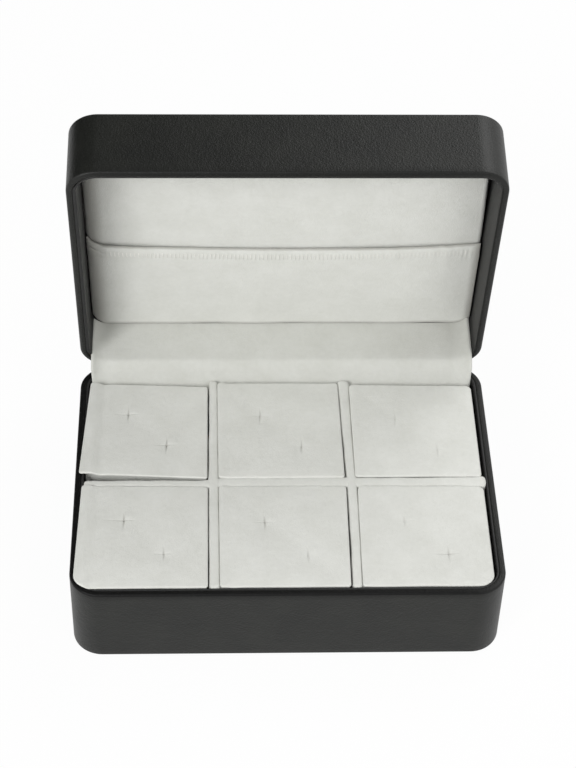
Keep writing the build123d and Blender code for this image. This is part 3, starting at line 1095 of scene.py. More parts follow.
@dataclass
class CaseHalf:
    """One half of the case: its leatherette skin, lining band and boards."""

    half: Half
    rim_round: float = 0.9
    foot_round: float = 0.6
    crown_round: float = 1.0
    turn_in: float = 8.0
    edge_round: float = 0.22
    cap_inset: float = 3.0
    slit: float = 0.04
    inner_edge: float = 0.42
    liner_shift: float = 0.45
    lines: tuple[int, int] = (25, 17)
    # How far the rim's painted shade reaches down the wall, how it lessens towards the sides, and
    # how much of it the lid gets.
    mark_reach: Pair = (1.3, 0.4)
    right_loss: Triple = (0.6, 66.0, 78.0)
    left_loss: Triple = (0.8, -66.0, -78.0)
    lid_share: float = 0.6

    def __post_init__(self) -> None:
        """Work out the case's plan, with places at both sides of every hinge notch."""
        straight = CASE.width / 2 - CASE.corner_radius
        reach = CASE.leaf_width / 2 + CASE.notch_clearance
        edges = [
            side * CASE.hinge_reach + end * reach + nudge
            for side in (-1, 1)
            for end in (-1, 1)
            for nudge in (-self.slit, self.slit)
        ]
        even = np.linspace(-straight, straight, self.lines[0])[1:-1]
        lines = np.unique(np.concatenate([edges, even]))
        shares = (lines + straight) / (2 * straight)
        self.outline = case_plan(shares, np.linspace(0.0, 1.0, self.lines[1])[1:-1], arc_steps=14)
        places, _ = self.outline.loop()
        near = np.abs(np.abs(places[:, 0]) - CASE.hinge_reach) < reach
        self.at_hinge = near & (places[:, 1] > CASE.inner_rear)

    def cut_back(self, loops: Points, depth: float) -> Points:
        """Cut a rim back at the hinges, where no place may pass this depth.

        Args:
            loops: The rings of a shell.
            depth: How far below the pin line, or above it in the lid, the cut goes.

        Returns:
            The rings with the cut.
        """
        cut = loops.copy()
        heights = cut[:, self.at_hinge, 2]
        if self.half is Half.BASE:
            cut[:, self.at_hinge, 2] = np.minimum(heights, CASE.pin_z - depth)
        else:
            cut[:, self.at_hinge, 2] = np.maximum(heights, CASE.pin_z + depth)
        return cut

    def shell(self, profile: Points, cut: float) -> tuple[Points, Faces]:
        """Carry a closed profile round the case.

        Args:
            profile: The profile's places, as inset and height.
            cut: How deep the rim is cut back at the hinges.

        Returns:
            The shell's places and faces.
        """
        loops = self.cut_back(rings(self.outline, profile[:, 0], profile[:, 1]), cut)
        points = loops.reshape(-1, 3)
        return points, outwards(points, tube_faces(*loops.shape[:2], joined=True))

    def base_skin(self) -> tuple[Points, Faces]:
        """Carry the base skin's profile round: over the rim, down and under the foot.

        Returns:
            The skin's places and faces.
        """
        inner, rim, foot, wrap = CASE.board_inset, CASE.base_height, CASE.foot, CASE.wrap
        profile = rounded_path(
            (
                (inner, rim - wrap),
                (inner, rim),
                (0.0, rim),
                (0.0, foot),
                (self.turn_in, foot),
                (self.turn_in, foot + wrap),
                (wrap, foot + wrap),
                (wrap, rim - wrap),
            ),
            (self.inner_edge, self.rim_round, self.foot_round) + (self.edge_round,) * 3,
        )
        return self.shell(split_long(profile), CASE.notch_depth)

    def lid_skin(self) -> tuple[Points, Faces]:
        """Carry the lid skin's profile round, from its top down and over the rim.

        Returns:
            The skin's places, at rest, and its faces.
        """
        inner, rim, top, wrap = CASE.board_inset, CASE.lid_rim, CASE.lid_top, CASE.wrap
        profile = rounded_path(
            (
                (self.cap_inset, top),
                (0.0, top),
                (0.0, rim),
                (inner, rim),
                (inner, rim + wrap),
                (wrap, rim + wrap),
                (wrap, top - wrap),
                (self.cap_inset, top - wrap),
            ),
            (self.crown_round, self.rim_round, self.inner_edge)
            + (self.edge_round,) * 2
            + (self.crown_round - CASE.wrap,),
        )
        profile = split_long(profile)
        loops = rings(self.outline, profile[:, 0], profile[:, 1])
        points, faces, _ = capped_tube(self.cut_back(loops, CASE.notch_depth), self.outline.sides)
        return swing_open(points), faces

    def rim_shade_marks(self, points: Points) -> Points:
        """Mark the rim for painted shade, which fades out a little way down the wall.

        It is 1 less a loss towards the right side, times a smooth rise up to the rim.
        In the lid there is a loss towards the left side too, and the lid's share of it.

        Args:
            points: The skin's places, at rest.

        Returns:
            1 at the rim, falling to 0 on the walls.
        """
        x, y, z = points.T
        far, near = self.mark_reach
        even = 1.0 - step_up(self.right_loss, x)
        if self.half is Half.BASE:
            return even * ease(CASE.base_height - far, CASE.base_height - near, z)
        turn = radians(CASE.lid_opening)
        shut = CASE.pin_z + (y - CASE.pin_y) * sin(turn) + (z - CASE.pin_z) * cos(turn)
        even = even - step_up(self.left_loss, x)
        return self.lid_share * even * ease(CASE.lid_rim + far, CASE.lid_rim + near, shut)

    def lining_band(self) -> tuple[Points, Faces]:
        """Carry the lining band's profile round, inside the board.

        The lid's band lies a little to the right of its board's middle on both sides.

        Returns:
            The band's places, at rest, and its faces.
        """
        outer, inner = CASE.board_inset, CASE.rim_thickness
        if self.half is Half.BASE:
            rim, root = CASE.base_height - CASE.liner_recess, CASE.floor_top
        else:
            rim, root = CASE.lid_rim + CASE.liner_recess, CASE.ceiling
        profile = rounded_path(
            ((outer, root), (outer, rim), (inner, rim), (inner, root)), (self.edge_round,) * 2
        )
        points, faces = self.shell(profile, CASE.leaf_drop + CASE.notch_clearance)
        if self.half is Half.BASE:
            return points, faces
        face = CASE.inner_half_width
        at_face = ease(face + self.liner_shift, face, np.abs(points[:, 0]))
        points[:, 0] += self.liner_shift * at_face
        return swing_open(points), faces

    def build(self) -> None:
        """Make the half's skin and lining band, and dress its boards."""
        name = self.half.value
        points, faces = self.base_skin() if self.half is Half.BASE else self.lid_skin()
        skin = make_piece(f"{name}_skin", points, faces, marks={RIM_SHADE_MARK: self.rim_shade_marks(points)})
        seat(dress(skin, LEATHERETTE), name, f"{name}_wrap")
        band = make_piece(f"{name}_lining_band", *self.lining_band())
        seat(dress(band, LINING_PAPER), name, f"{name}_liner")
        if self.half is Half.BASE:
            dress_nodes(("base_wall", "base_floor"), FIBREBOARD)
            dress_nodes(("base_underside",), LINING_PAPER)
        else:
            dress_nodes(("lid_wall",), FIBREBOARD)
            # Painted shade: the top board, which shows only in the gap round the panel, is dressed
            # in black paper so that the gap reads dark.
            dress_nodes(("lid_top_board",), LINING_PAPER)


# ------------------------------ cloth


@dataclass(frozen=True)
class ClothPress:
    """Blows a cover up as cloth from its flat start, to find how it swells."""

    enlarge: float = 8.0
    pressure: float = 4.0
    tension: float = 12.0
    bending: float = 0.8
    frames: int = 20

    def swell(self, points: Points, faces: Faces, held: Points, cap: float) -> Points:
        """Blow a cover up.

        Args:
            points: The cover's places.
            faces: Its faces.
            held: How firmly each place is held, from 0 to 1.
            cap: How far any place may move; the whole swelling is scaled to it.

        Returns:
            How far each place has moved.
        """
        trial = make_piece("trial_cover", points * self.enlarge, faces)
        group = trial.vertex_groups.new(name="held")
        for weight in np.unique(held):
            group.add(np.flatnonzero(held == weight).tolist(), float(weight), "REPLACE")
        cloth = trial.modifiers.new("cloth", "CLOTH")
        cloth.settings.vertex_group_mass = group.name
        cloth.settings.use_pressure = True
        cloth.settings.uniform_pressure_force = self.pressure
        cloth.settings.effector_weights.gravity = 0.0
        cloth.settings.tension_stiffness = self.tension
        cloth.settings.bending_stiffness = self.bending
        cloth.point_cache.frame_start, cloth.point_cache.frame_end = 1, self.frames
        scene = bpy.context.scene
        for step in range(1, self.frames + 1):
            scene.frame_set(step)
        shaped = trial.evaluated_get(bpy.context.evaluated_depsgraph_get())
        places = np.empty(points.size, np.float32)
        shaped.data.vertices.foreach_get("co", places)
        scene.frame_set(1)
        mesh = trial.data
        bpy.data.objects.remove(trial)
        bpy.data.meshes.remove(mesh)
        moved = places.reshape(-1, 3) / (MM * self.enlarge) - points
        furthest = float(np.linalg.norm(moved, axis=1).max())
        return moved * min(1.0, cap / max(furthest, TINY))


PRESS = ClothPress()


def cubic_weights(place: Points, count: int) -> Points:
    """Give the weights that carry a coarse row of values to finer places, smoothly.

    A value is the four nearest ones times the weights of the cubic that passes through
    the middle two with the slopes of their neighbours.

    Args:
        place: The finer places, counted in steps of the coarse row.
        count: How many values the coarse row has.

    Returns:
        A matrix with a row for each finer place.
    """
    cell = np.clip(place.astype(int), 0, count - 2)
    t = place - cell
    blend = np.stack(
        [
            -0.5 * t + t**2 - 0.5 * t**3,
            1.0 - 2.5 * t**2 + 1.5 * t**3,
            0.5 * t + 2.0 * t**2 - 1.5 * t**3,
            -0.5 * t**2 + 0.5 * t**3,
        ],
        axis=1,
    )
    weights = np.zeros((len(place), count))
    for step in range(4):
        columns = np.clip(cell + step - 1, 0, count - 1)
        np.add.at(weights, (np.arange(len(place)), columns), blend[:, step])
    return weights


@dataclass
class Relief:
    """A coarse grid of heights, with the X of its columns and the Y of its rows."""

    heights: Points
    columns: Points
    rows: Points

    def at(self, x: Points, y: Points) -> Points:
        """Read the heights smoothly at these places, which are held inside the grid.

        Args:
            x: The places' X.
            y: The places' Y.

        Returns:
            The height at each place.
        """
        down, across = (
            cubic_weights(np.interp(np.ravel(values), lines, np.arange(len(lines))), len(lines))
            for values, lines in ((y, self.rows), (x, self.columns))
        )
        return np.einsum("pr,rc,pc->p", down, self.heights, across).reshape(np.shape(x))


# ------------------------------ tray


@dataclass(frozen=True)
class CushionShape:
    """What the shapes of all cushions have in common, in millimetres.

    A slit's arm has a width, the reach where it ends and the place where it is full.  Its depths,
    and its partings with their painted shade, go from the deep arm by the shallow arm to their
    crossing.
    """

    edge_gap: float = 0.1
    corner_gap: float = 0.2
    drops: tuple[float, ...] = (1.2, 4.0, 12.0)
    rises: tuple[float, ...] = (4.0, 0.9, 0.0)
    undercut: tuple[float, ...] = (0.15, 0.45, 0.6, 0.6, 0.4, 0.4, 0.8)
    trial_lines: int = 161
    slit_clear: float = 1.3
    slit_lines: tuple[float, ...] = (0.0, 0.12, 0.24, 0.4, 0.62, 0.95)
    deep_arm: Triple = (0.27, 4.3, 0.6)
    shallow_arm: Triple = (0.22, 4.9, 0.4)
    slit_bend: Pair = (0.16, 2.3)
    left_arm: Pair = (0.6, 1.3)
    crossing: Pair = (0.5, 0.6)
    depths: Triple = (0.5, 0.2, 0.2)
    # How far the slits part the pile, which also paints shade into their creases.
    parting_and_shade: Triple = (0.4, 0.28, 0.14)
    most_parted_and_shaded: float = 0.6
    lip: Triple = (0.5, 1.9, 1.6)
    lip_along: Pair = (2.0, 2.0)
    lip_start: Pair = (-0.1, 0.3)
    dish: Triple = (0.24, -0.9, 2.0)
    dish_along: Pair = (-0.8, 3.0)
    waves: Pair = (0.1, 0.12)
    wave_lengths: tuple[Pair, ...] = ((23.0, 37.0), (19.0, 31.0), (11.0, 17.0))
    lap_rise: Pair = (-1.7, 0.7)
    lap_fall: Triple = (0.22, 0.5, 5.0)
    valley: Pair = (-2.6, 1.6)
    held: Pair = (1.0, 2.5)
    held_slit: float = 2.0
    swollen: Pair = (3.0, 0.15)
    fill: float = 0.85


PAD = CushionShape()


@dataclass
class Cushion:
    """A foam cushion in a velvet cover, with two crossed slits for a pair of cufflinks.

    Its corners go round from the front left by the front right, at the top of the cover.
    """

    row: str
    column: str
    corners: tuple[Pair, ...]
    marks: tuple[Pair, ...]
    seed: int
    radii: tuple[float, float, float, float] = (1.1, 1.1, 1.1, 1.1)
    crest: Pair = (0.0, 0.0)
    ridge: float = 0.0
    valley: float = 0.0
    recess: float = 0.0
    top: float = 36.0
    edge_round: float = 0.65
    tight_round: float = 0.35
    wall_gap: float = 0.3
    swell_cap: float = 0.5
    lid_gap: float = 0.85
    askew: float = 0.0
    arms: tuple[Pair, ...] = ((1.0, 1.0), (1.0, 1.0))
    line_spacing: float = 1.3

    def limits(self) -> Triple:
        """Give the least and greatest X, and the least Y, of what is below the rim."""
        reach = CASE.inner_half_width - self.wall_gap
        return -reach, reach, -CASE.inner_rear + self.wall_gap

    def plans(self, across: Sequence[float], along: Sequence[float]) -> tuple[Outline, Outline]:
        """Give the plans of the top and of what is below the rim, divided at these shares.

        Below the rim a corner in a corner of the case is as round as the case is inside,
        and the front left corner stands back by the recess.

        Args:
            across: Shares of the front and rear sides' straight parts.
            along: Shares of the left and right sides' straight parts.

        Returns:
            The two plans.
        """
        left, right, front = self.limits()
        held = [(min(max(x, left), right), max(y, front)) for x, y in self.corners]
        held[0] = (held[0][0], held[0][1] + self.recess)
        radii = list(self.radii)
        if self.row == "front" and self.column != "middle":
            corner = 0 if self.column == "left" else 1
            radii[corner] = CASE.corner_radius - CASE.rim_thickness - PAD.corner_gap
        shares = tuple(across), tuple(along)
        return (
            Outline(self.corners, self.radii, *shares, arc_steps=6),
            Outline(tuple(held), tuple(radii), *shares, arc_steps=6),
        )

    def lines(self, fine: bool) -> tuple[Points, Points]:
        """Space the grid's lines, closer where a slit runs along them.

        The line that passes a slit is the nearest one of a patch with very many lines.

        Args:
            fine: Whether the slits get lines of their own.

        Returns:
            Shares of the way along the straight parts of the front and of the sides.
        """
        trial = np.linspace(0.0, 1.0, PAD.trial_lines)[1:-1]
        plan, _ = self.plans(trial, trial)
        grid = patch(plan.loop()[0], plan.sides)
        length = self.corners[2][0] - self.corners[3][0] - self.radii[2] - self.radii[3]
        even = np.linspace(0.0, 1.0, int(length / self.line_spacing))[1:-1]
        across, along = even, even
        clear, offsets = PAD.slit_clear / length, np.array(PAD.slit_lines) / length
        offsets = np.concatenate([-offsets[:0:-1], offsets])
        for mark in self.marks if fine else ():
            nearest = int(np.argmin(np.linalg.norm(grid - np.array(mark), axis=-1)))
            row, column = (n - plan.arc_steps - 1 for n in divmod(nearest, grid.shape[1]))
            across, along = (
                np.sort(np.concatenate([lines[np.abs(lines - place) > clear], place + offsets]))
                for lines, place in ((across, trial[column]), (along, trial[row]))
            )
        return across, along

    def loops(self, fine: bool) -> tuple[Points, tuple[int, int]]:
        """Stack the cushion's rings.

        The top edge is a quarter circle: inset = radius (1 - sine) and drop = radius
        (1 - cosine) of an angle from 0 to 90 degrees.  It is tighter towards the left
        and the rear, where the cushion touches its divider.  Below it the rings keep
        inside the case, so a top that is wider than its cell lies over the rim.

        Args:
            fine: Whether the slits get lines of their own.

        Returns:
            The rings, and how many steps they have along the front and the right side.
        """
        upper, lower = self.plans(*self.lines(fine))
        angles = np.linspace(0.0, pi / 2, 6)[:, None]
        outward = upper.loop()[1]
        loose = np.clip(np.maximum(outward[:, 0], -outward[:, 1]), 0.0, 1.0)
        radius = self.tight_round + (self.edge_round - self.tight_round) * loose
        height = self.top - radius * (1.0 - np.cos(angles))
        edge = rings(upper, radius * (1.0 - np.sin(angles)), height)
        below = self.top - self.edge_round - PAD.edge_gap
        under_rim = [CASE.base_height - drop for drop in PAD.drops]
        over_floor = [CASE.floor_top + rise for rise in PAD.rises]
        outward = lower.loop()[1]
        shadowed = np.clip(np.maximum(outward[:, 0], -outward[:, 1]), 0.0, 1.0)
        inset = PAD.edge_gap + np.array(PAD.undercut)[:, None] * shadowed[None]
        sides = rings(lower, inset, np.array([below, *under_rim, *over_floor]))
        return np.concatenate([edge, sides]), upper.sides

    def slits(self, x: Points, y: Points) -> tuple[Points, Points]:
        """Press the crossed slits in.

        Each arm is a narrow bell across, times a fade along; one arm is deeper than the
        other, and the cloth beside the crossing stands up a little on one side.

        Args:
            x: The places' X.
            y: The places' Y.

        Returns:
            The heights to add, and how far the pile parts, with shade painted there, from 0 to 1.
        """
        heights, parted_and_shaded = np.zeros_like(x), np.zeros_like(x)
        for order, ((mark_x, mark_y), (firm, faint)) in enumerate(zip(self.marks, self.arms)):
            across, along = x - mark_x, y - mark_y
            short, growth = PAD.left_arm
            arm = np.abs(np.where(across < 0.0, across / (short + growth * faint), across))
            sway, sway_length = PAD.slit_bend
            bend = sway * np.sin(along / sway_length + self.seed + order)
            (wide, *deep_fade), (narrow, *shallow_fade) = PAD.deep_arm, PAD.shallow_arm
            deep = bell(across - bend, 0.0, wide) * ease(*deep_fade, np.abs(along))
            shallow = bell(along, 0.0, narrow) * ease(*shallow_fade, arm)
            middle = bell(across, 0.0, PAD.crossing[0]) * bell(along, 0.0, PAD.crossing[1])
            parts = (firm * deep, faint * shallow, firm * middle)
            heights -= sum(depth * part for depth, part in zip(PAD.depths, parts))
            parted_and_shaded += sum(share * part for share, part in zip(PAD.parting_and_shade, parts))
            stands = bump(PAD.lip, across) * ease(*PAD.lip_start, across)
            heights += firm * stands * bell(along, *PAD.lip_along)
            heights -= firm * bump(PAD.dish, across) * bell(along, *PAD.dish_along)
        return heights, np.clip(parted_and_shaded, 0.0, PAD.most_parted_and_shaded)

    def unevenness(self, x: Points, y: Points) -> Points:
        """Let the cover swell here and there, and lie proud where it laps to the left.

        The lap rises over its crest, whose line runs from front to rear, and falls a
        little again towards the cushion's edge.

        Args:
            x: The places' X.
            y: The places' Y.

        Returns:
            The heights to add.
        """
        front, rear = self.corners[0][1], self.corners[3][1]
        crest = self.crest[0] + (self.crest[1] - self.crest[0]) * (y - front) / (rear - front)
        (wave, lap_wave), (over_x, over_y, along) = PAD.waves, PAD.wave_lengths
        heights = wave * wander(x, over_x, self.seed) * wander(y, over_y, self.seed + 7)
        past = crest - x
        lap = ease(*PAD.lap_rise, past) * (1.0 - step_up(PAD.lap_fall, past))
        heights += self.ridge * lap * (1.0 + lap_wave * wander(y, along, self.seed + 2))
        heights -= self.valley * bell(past, *PAD.valley)
        return heights

    def swelling(self) -> Relief:
        """Blow the cover up as cloth, held at its sides and its slits, and read its top.

        Returns:
            How far the top has risen.
        """
        loops, sides = self.loops(fine=False)
        points, faces, top = capped_tube(loops, sides)
        free, firm = (CASE.base_height - depth for depth in PAD.held)
        held = ease(free, firm, points[:, 2])
        for mark_x, mark_y in self.marks:
            near = np.hypot(points[:, 0] - mark_x, points[:, 1] - mark_y)
            held = np.where((points[:, 2] > free) & (near < PAD.held_slit), 1.0, held)
        held = np.round(held, 1)
        moved = PRESS.swell(points, faces, held, self.swell_cap)
        rise, grid = moved[top][..., 2], points[top]
        half_rows, half_columns = (size // 2 for size in rise.shape)
        return Relief(rise, grid[half_rows, :, 0], grid[:, half_columns, 1])

    def build(self) -> None:
        """Make the cushion, swell its cover, press its slits in and dress it."""
        loops, sides = self.loops(fine=True)
        points, faces, _ = capped_tube(loops, sides)
        x, y, z = points.T
        low, high = PAD.swollen
        share = ease(CASE.base_height - low, self.top - self.edge_round - high, z)
        dents_and_rim_shade, parted_and_shaded = self.slits(x, y)
        points[:, 2] += share * (self.swelling().at(x, y) + self.unevenness(x, y) + dents_and_rim_shade)
        name = f"cushion_{self.row}_{self.column}"
        # The slits' mark: the darker ground where the pile parts, and painted shade in their
        # creases.
        piece = make_piece(name, points, faces, marks={SHADE_AND_PARTING_MARK: share * parted_and_shaded})
        dress(piece, VELVET)
        cell = f"{self.row}_{self.column}"
        seat(piece, "base", f"pad_cover_{cell}", f"pad_foam_{cell}")
        if self.corners[0][0] < self.limits()[0]:
            self.give_way(piece)

    def give_way(self, piece: bpy.types.Object) -> None:
        """Give a cushion that lies over the rim a mesh of its own.

        Args:
            piece: The cushion's piece.
        """
        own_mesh(piece)


@dataclass
class Divider:
    """A velvet-covered divider, whose width and line wander a little along its run.

    Its stations are a place along its run, and the places of its two faces there.  Its
    waves move its middle, its half width and its top: a depth and its wavelengths each.
    """

    name: str
    runs_back: bool
    stations: tuple[Triple, ...]
    lap_places: tuple[float, ...]
    seed: int
    top: float = 35.5
    end_round: float = 1.3
    shoulder: float = 1.0
    lap_reach: float = 2.05
    tab: float = 0.0
    flap_foot: Pair = (48.8, 31.65)
    flap_slope: float = 1.3
    lines: int = 60
    clear_end: float = 2.0
    slit: float = 0.02
    waves: tuple[Waves, ...] = (
        (0.12, (17.0, 41.0)),
        (0.06, (9.0, 23.0)),
        (0.09, (13.0, 29.0)),
    )
    end_share: float = 0.35
    end_dip: float = 0.5
    tab_run: Pair = (2.6, 1.9)
    wall_shares: tuple[float, ...] = (0.0, 0.3, 0.6, 0.9)
    closing: float = 0.12

    def run(self) -> Points:
        """Space the lines along the run, closer at its ends and at the laps' edges.

        Returns:
            The place of each line.
        """
        low, high = self.stations[0][0], self.stations[-1][0]
        ends = self.end_round * (1.0 - np.cos(np.linspace(0.0, pi / 2, 6)))
        edges = [
            lap + side * (self.lap_reach + nudge)
            for lap in self.lap_places
            for side in (-1, 1)
            for nudge in (-self.slit, self.slit)
        ]
        even = np.linspace(low + self.clear_end, high - self.clear_end, self.lines)
        return np.unique(np.concatenate([low + ends, high - ends, edges, even]))

    def section(self, half: Points, top: Points) -> tuple[Points, Points]:
        """Work out the section at each line of the run, up one side and down the other.

        It is a strip with half-round shoulders: over an angle, offset = half width times
        (1 - shoulder (1 - cosine) / 2), and height = top - shoulder (1 - sine).

        Args:
            half: Half the width at each line.
            top: The top's height at each line.

        Returns:
            The offsets from the middle, and the heights.
        """
        angles = np.linspace(0.0, pi / 2, 7)
        bent = 1.0 - (1.0 - np.cos(angles)) * self.shoulder / 2.0
        offsets = np.concatenate([np.ones(len(self.wall_shares)), bent])
        offsets[-1] = self.closing
        side, straight_top = half[:, None] * offsets, (top - self.shoulder)[:, None]
        walls = CASE.floor_top + (straight_top - CASE.floor_top) * np.array(self.wall_shares)
        z = np.concatenate([walls, straight_top + self.shoulder * np.sin(angles)], axis=1)
        offset = np.concatenate([-side, side[:, ::-1]], axis=1)
        return offset, np.concatenate([z, z[:, ::-1]], axis=1)

    def build(self) -> None:
        """Carry the divider's section along its run, lap it and dress it.

        Where dividers cross, one keeps above the laps' height and the other below it.
        One that runs back ends under the hinge flap, behind which it leans forward.
        """
        places, first, second = np.array(self.stations, float).T
        run, low, high = self.run(), places[0], places[-1]
        left, right = np.interp(run, places, first), np.interp(run, places, second)
        sway, swell, rise = (
            ripple(wave, run, self.seed + step) for wave, step in zip(self.waves, (0, 3, 5))
        )
        middle, half = (left + right) / 2 + sway, (right - left) / 2 + swell
        near_end = np.clip(np.minimum(run - low, high - run) / self.end_round, 0.0, 1.0)
        taper = np.sqrt(1.0 - (1.0 - near_end) ** 2)
        half = half * (self.end_share + (1.0 - self.end_share) * taper)
        top = self.top - self.end_dip * (1.0 - taper) + rise
        top = top + self.tab * ease(high - self.tab_run[0], high - self.tab_run[1], run)
        offset, z = self.section(half, top)
        lap_height = (CASE.floor_top + self.top) / 2
        limit = np.maximum if self.runs_back else np.minimum
        for lap in self.lap_places:
            at_lap = np.abs(run - lap) < self.lap_reach
            z[at_lap] = limit(z[at_lap], lap_height)
        along = np.broadcast_to(run[:, None], z.shape)
        if self.runs_back:
            foot, foot_height = self.flap_foot
            along = np.minimum(along, foot + self.flap_slope * np.maximum(z - foot_height, 0.0))
        across = middle[:, None] + offset
        order = [across, along, z] if self.runs_back else [along, across, z]
        points, faces = ladder_tube(np.stack(order, axis=-1))
        piece = dress(make_piece(f"{self.name}_velvet", points, faces), VELVET)
        seat(piece, "base", self.name)


CUSHIONS = (
    Cushion(
        "rear", "left",
        ((-78.6, 0.3), (-29.6, -2.2), (-29.5, 46.7), (-75.9, 48.7)),
        ((-60.4, 31.6), (-45.3, 15.1)),
        seed=11, arms=((0.9, 0.75), (1.0, 0.75)),
        radii=(0.8, 0.8, 0.9, 0.9),
        crest=(-73.0, -72.6), ridge=0.7, valley=0.38,
        recess=2.0,
    ),
    Cushion(
        "rear", "middle",
        ((-25.4, -2.0), (22.9, -2.0), (22.3, 48.6), (-25.7, 48.7)),
        ((-8.9, 30.5), (6.8, 14.1)),
        seed=12, arms=((0.7, 0.35), (0.75, 0.2)),
        crest=(-23.0, -23.4), ridge=0.25, valley=0.05,
    ),
    Cushion(
        "rear", "right",
        ((26.9, -1.7), (75.4, -1.7), (75.5, 46.8), (26.7, 47.6)),
        ((44.0, 28.6), (59.3, 12.1)),
        seed=13, arms=((0.4, 0.1), (0.45, 0.15)),
        radii=(1.1, 1.1, 2.0, 1.6),
        crest=(29.0, 28.6), ridge=0.12, valley=0.03,
    ),
    Cushion(
        "front", "left",
        ((-78.6, -55.7), (-29.4, -55.7), (-29.4, -6.7), (-77.2, -5.9)),
        ((-60.9, -23.3), (-45.8, -39.7)),
        seed=14, arms=((0.9, 0.9), (0.7, 0.5)),
        radii=(6.0, 1.1, 1.1, 1.1),
        crest=(-74.4, -73.4), ridge=0.5, valley=0.22,
        askew=25.0,
    ),
    Cushion(
        "front", "middle",
        ((-25.0, -55.6), (22.8, -55.6), (23.2, -6.5), (-25.3, -6.5)),
        ((-8.2, -24.6), (7.6, -40.8)),
        seed=15, arms=((0.75, 0.5), (0.55, 0.0)),
        crest=(-22.9, -22.9), ridge=0.25, valley=0.05,
    ),
    Cushion(
        "front", "right",
        ((27.0, -55.6), (75.5, -55.6), (75.6, -7.0), (27.5, -6.6)),
        ((44.2, -24.4), (59.6, -40.6)),
        seed=16, arms=((0.45, 0.2), (0.6, 0.8)),
        radii=(1.1, 5.5, 2.2, 2.2),
        crest=(29.2, 29.6), ridge=0.12, valley=0.03,
    ),
)
DIVIDERS = (
    Divider(
        "divider_left", True,
        (
            (-55.5, -29.0, -24.95), (-33.0, -29.1, -24.85),
            (-13.0, -29.3, -25.2), (2.3, -29.2, -25.15),
            (23.5, -29.1, -25.4), (50.6, -28.95, -25.5),
        ),
        (-4.0,),
        seed=21,
    ),
    Divider(
        "divider_right", True,
        (
            (-55.5, 23.3, 27.05), (-33.4, 23.6, 27.35),
            (-13.5, 23.65, 27.7), (1.9, 23.4, 27.05),
            (28.6, 22.75, 26.95), (50.6, 22.05, 26.8),
        ),
        (-4.0,),
        seed=22,
    ),
    Divider(
        "divider_cross", False,
        (
            (-76.5, -5.9, -2.6), (-51.4, -6.1, -2.5),
            (-32.3, -6.6, -2.5), (-24.0, -6.5, -1.3),
            (6.0, -6.5, -1.2), (22.0, -6.5, -1.3),
            (30.8, -6.5, -1.5), (55.8, -6.5, -1.5),
            (76.75, -7.0, -1.4),
        ),
        (-27.2, 25.4),
        seed=23,
        lap_reach=1.1,
        tab=0.45,
    ),
)


@dataclass
class Tray:
    """The base's six cushions and the three dividers between them."""

    cushions: tuple[Cushion, ...] = CUSHIONS
    dividers: tuple[Divider, ...] = DIVIDERS

    def build(self) -> None:
        """Make the cushions and the dividers, and dress the card behind them."""
        for piece in (*self.cushions, *self.dividers):
            piece.build()
        dress_nodes(("flap_card",), CARD)


# ------------------------------ flap


@dataclass
class CornerFit:
    """How a cloth at the rear keeps clear of the case's rounded inner corners."""

    used: float = 0.86

    def forward(self, x: Points) -> Points:
        """Give how far forward of the flat rear wall a cloth stands at each X.

        Along a corner the wall is radius - root of (radius squared - distance squared)
        forward of its straight part, where distance is how far X is into the corner.

        Args:
            x: The places' X.

        Returns:
            How far forward of the wall's straight part each place stands.
        """
        radius = CASE.corner_radius - CASE.rim_thickness
        into = np.abs(x) - (CASE.inner_half_width - radius)
        into = np.clip(into, 0.0, self.used * radius)
        return radius - np.sqrt(radius**2 - into**2)


CORNERS = CornerFit()


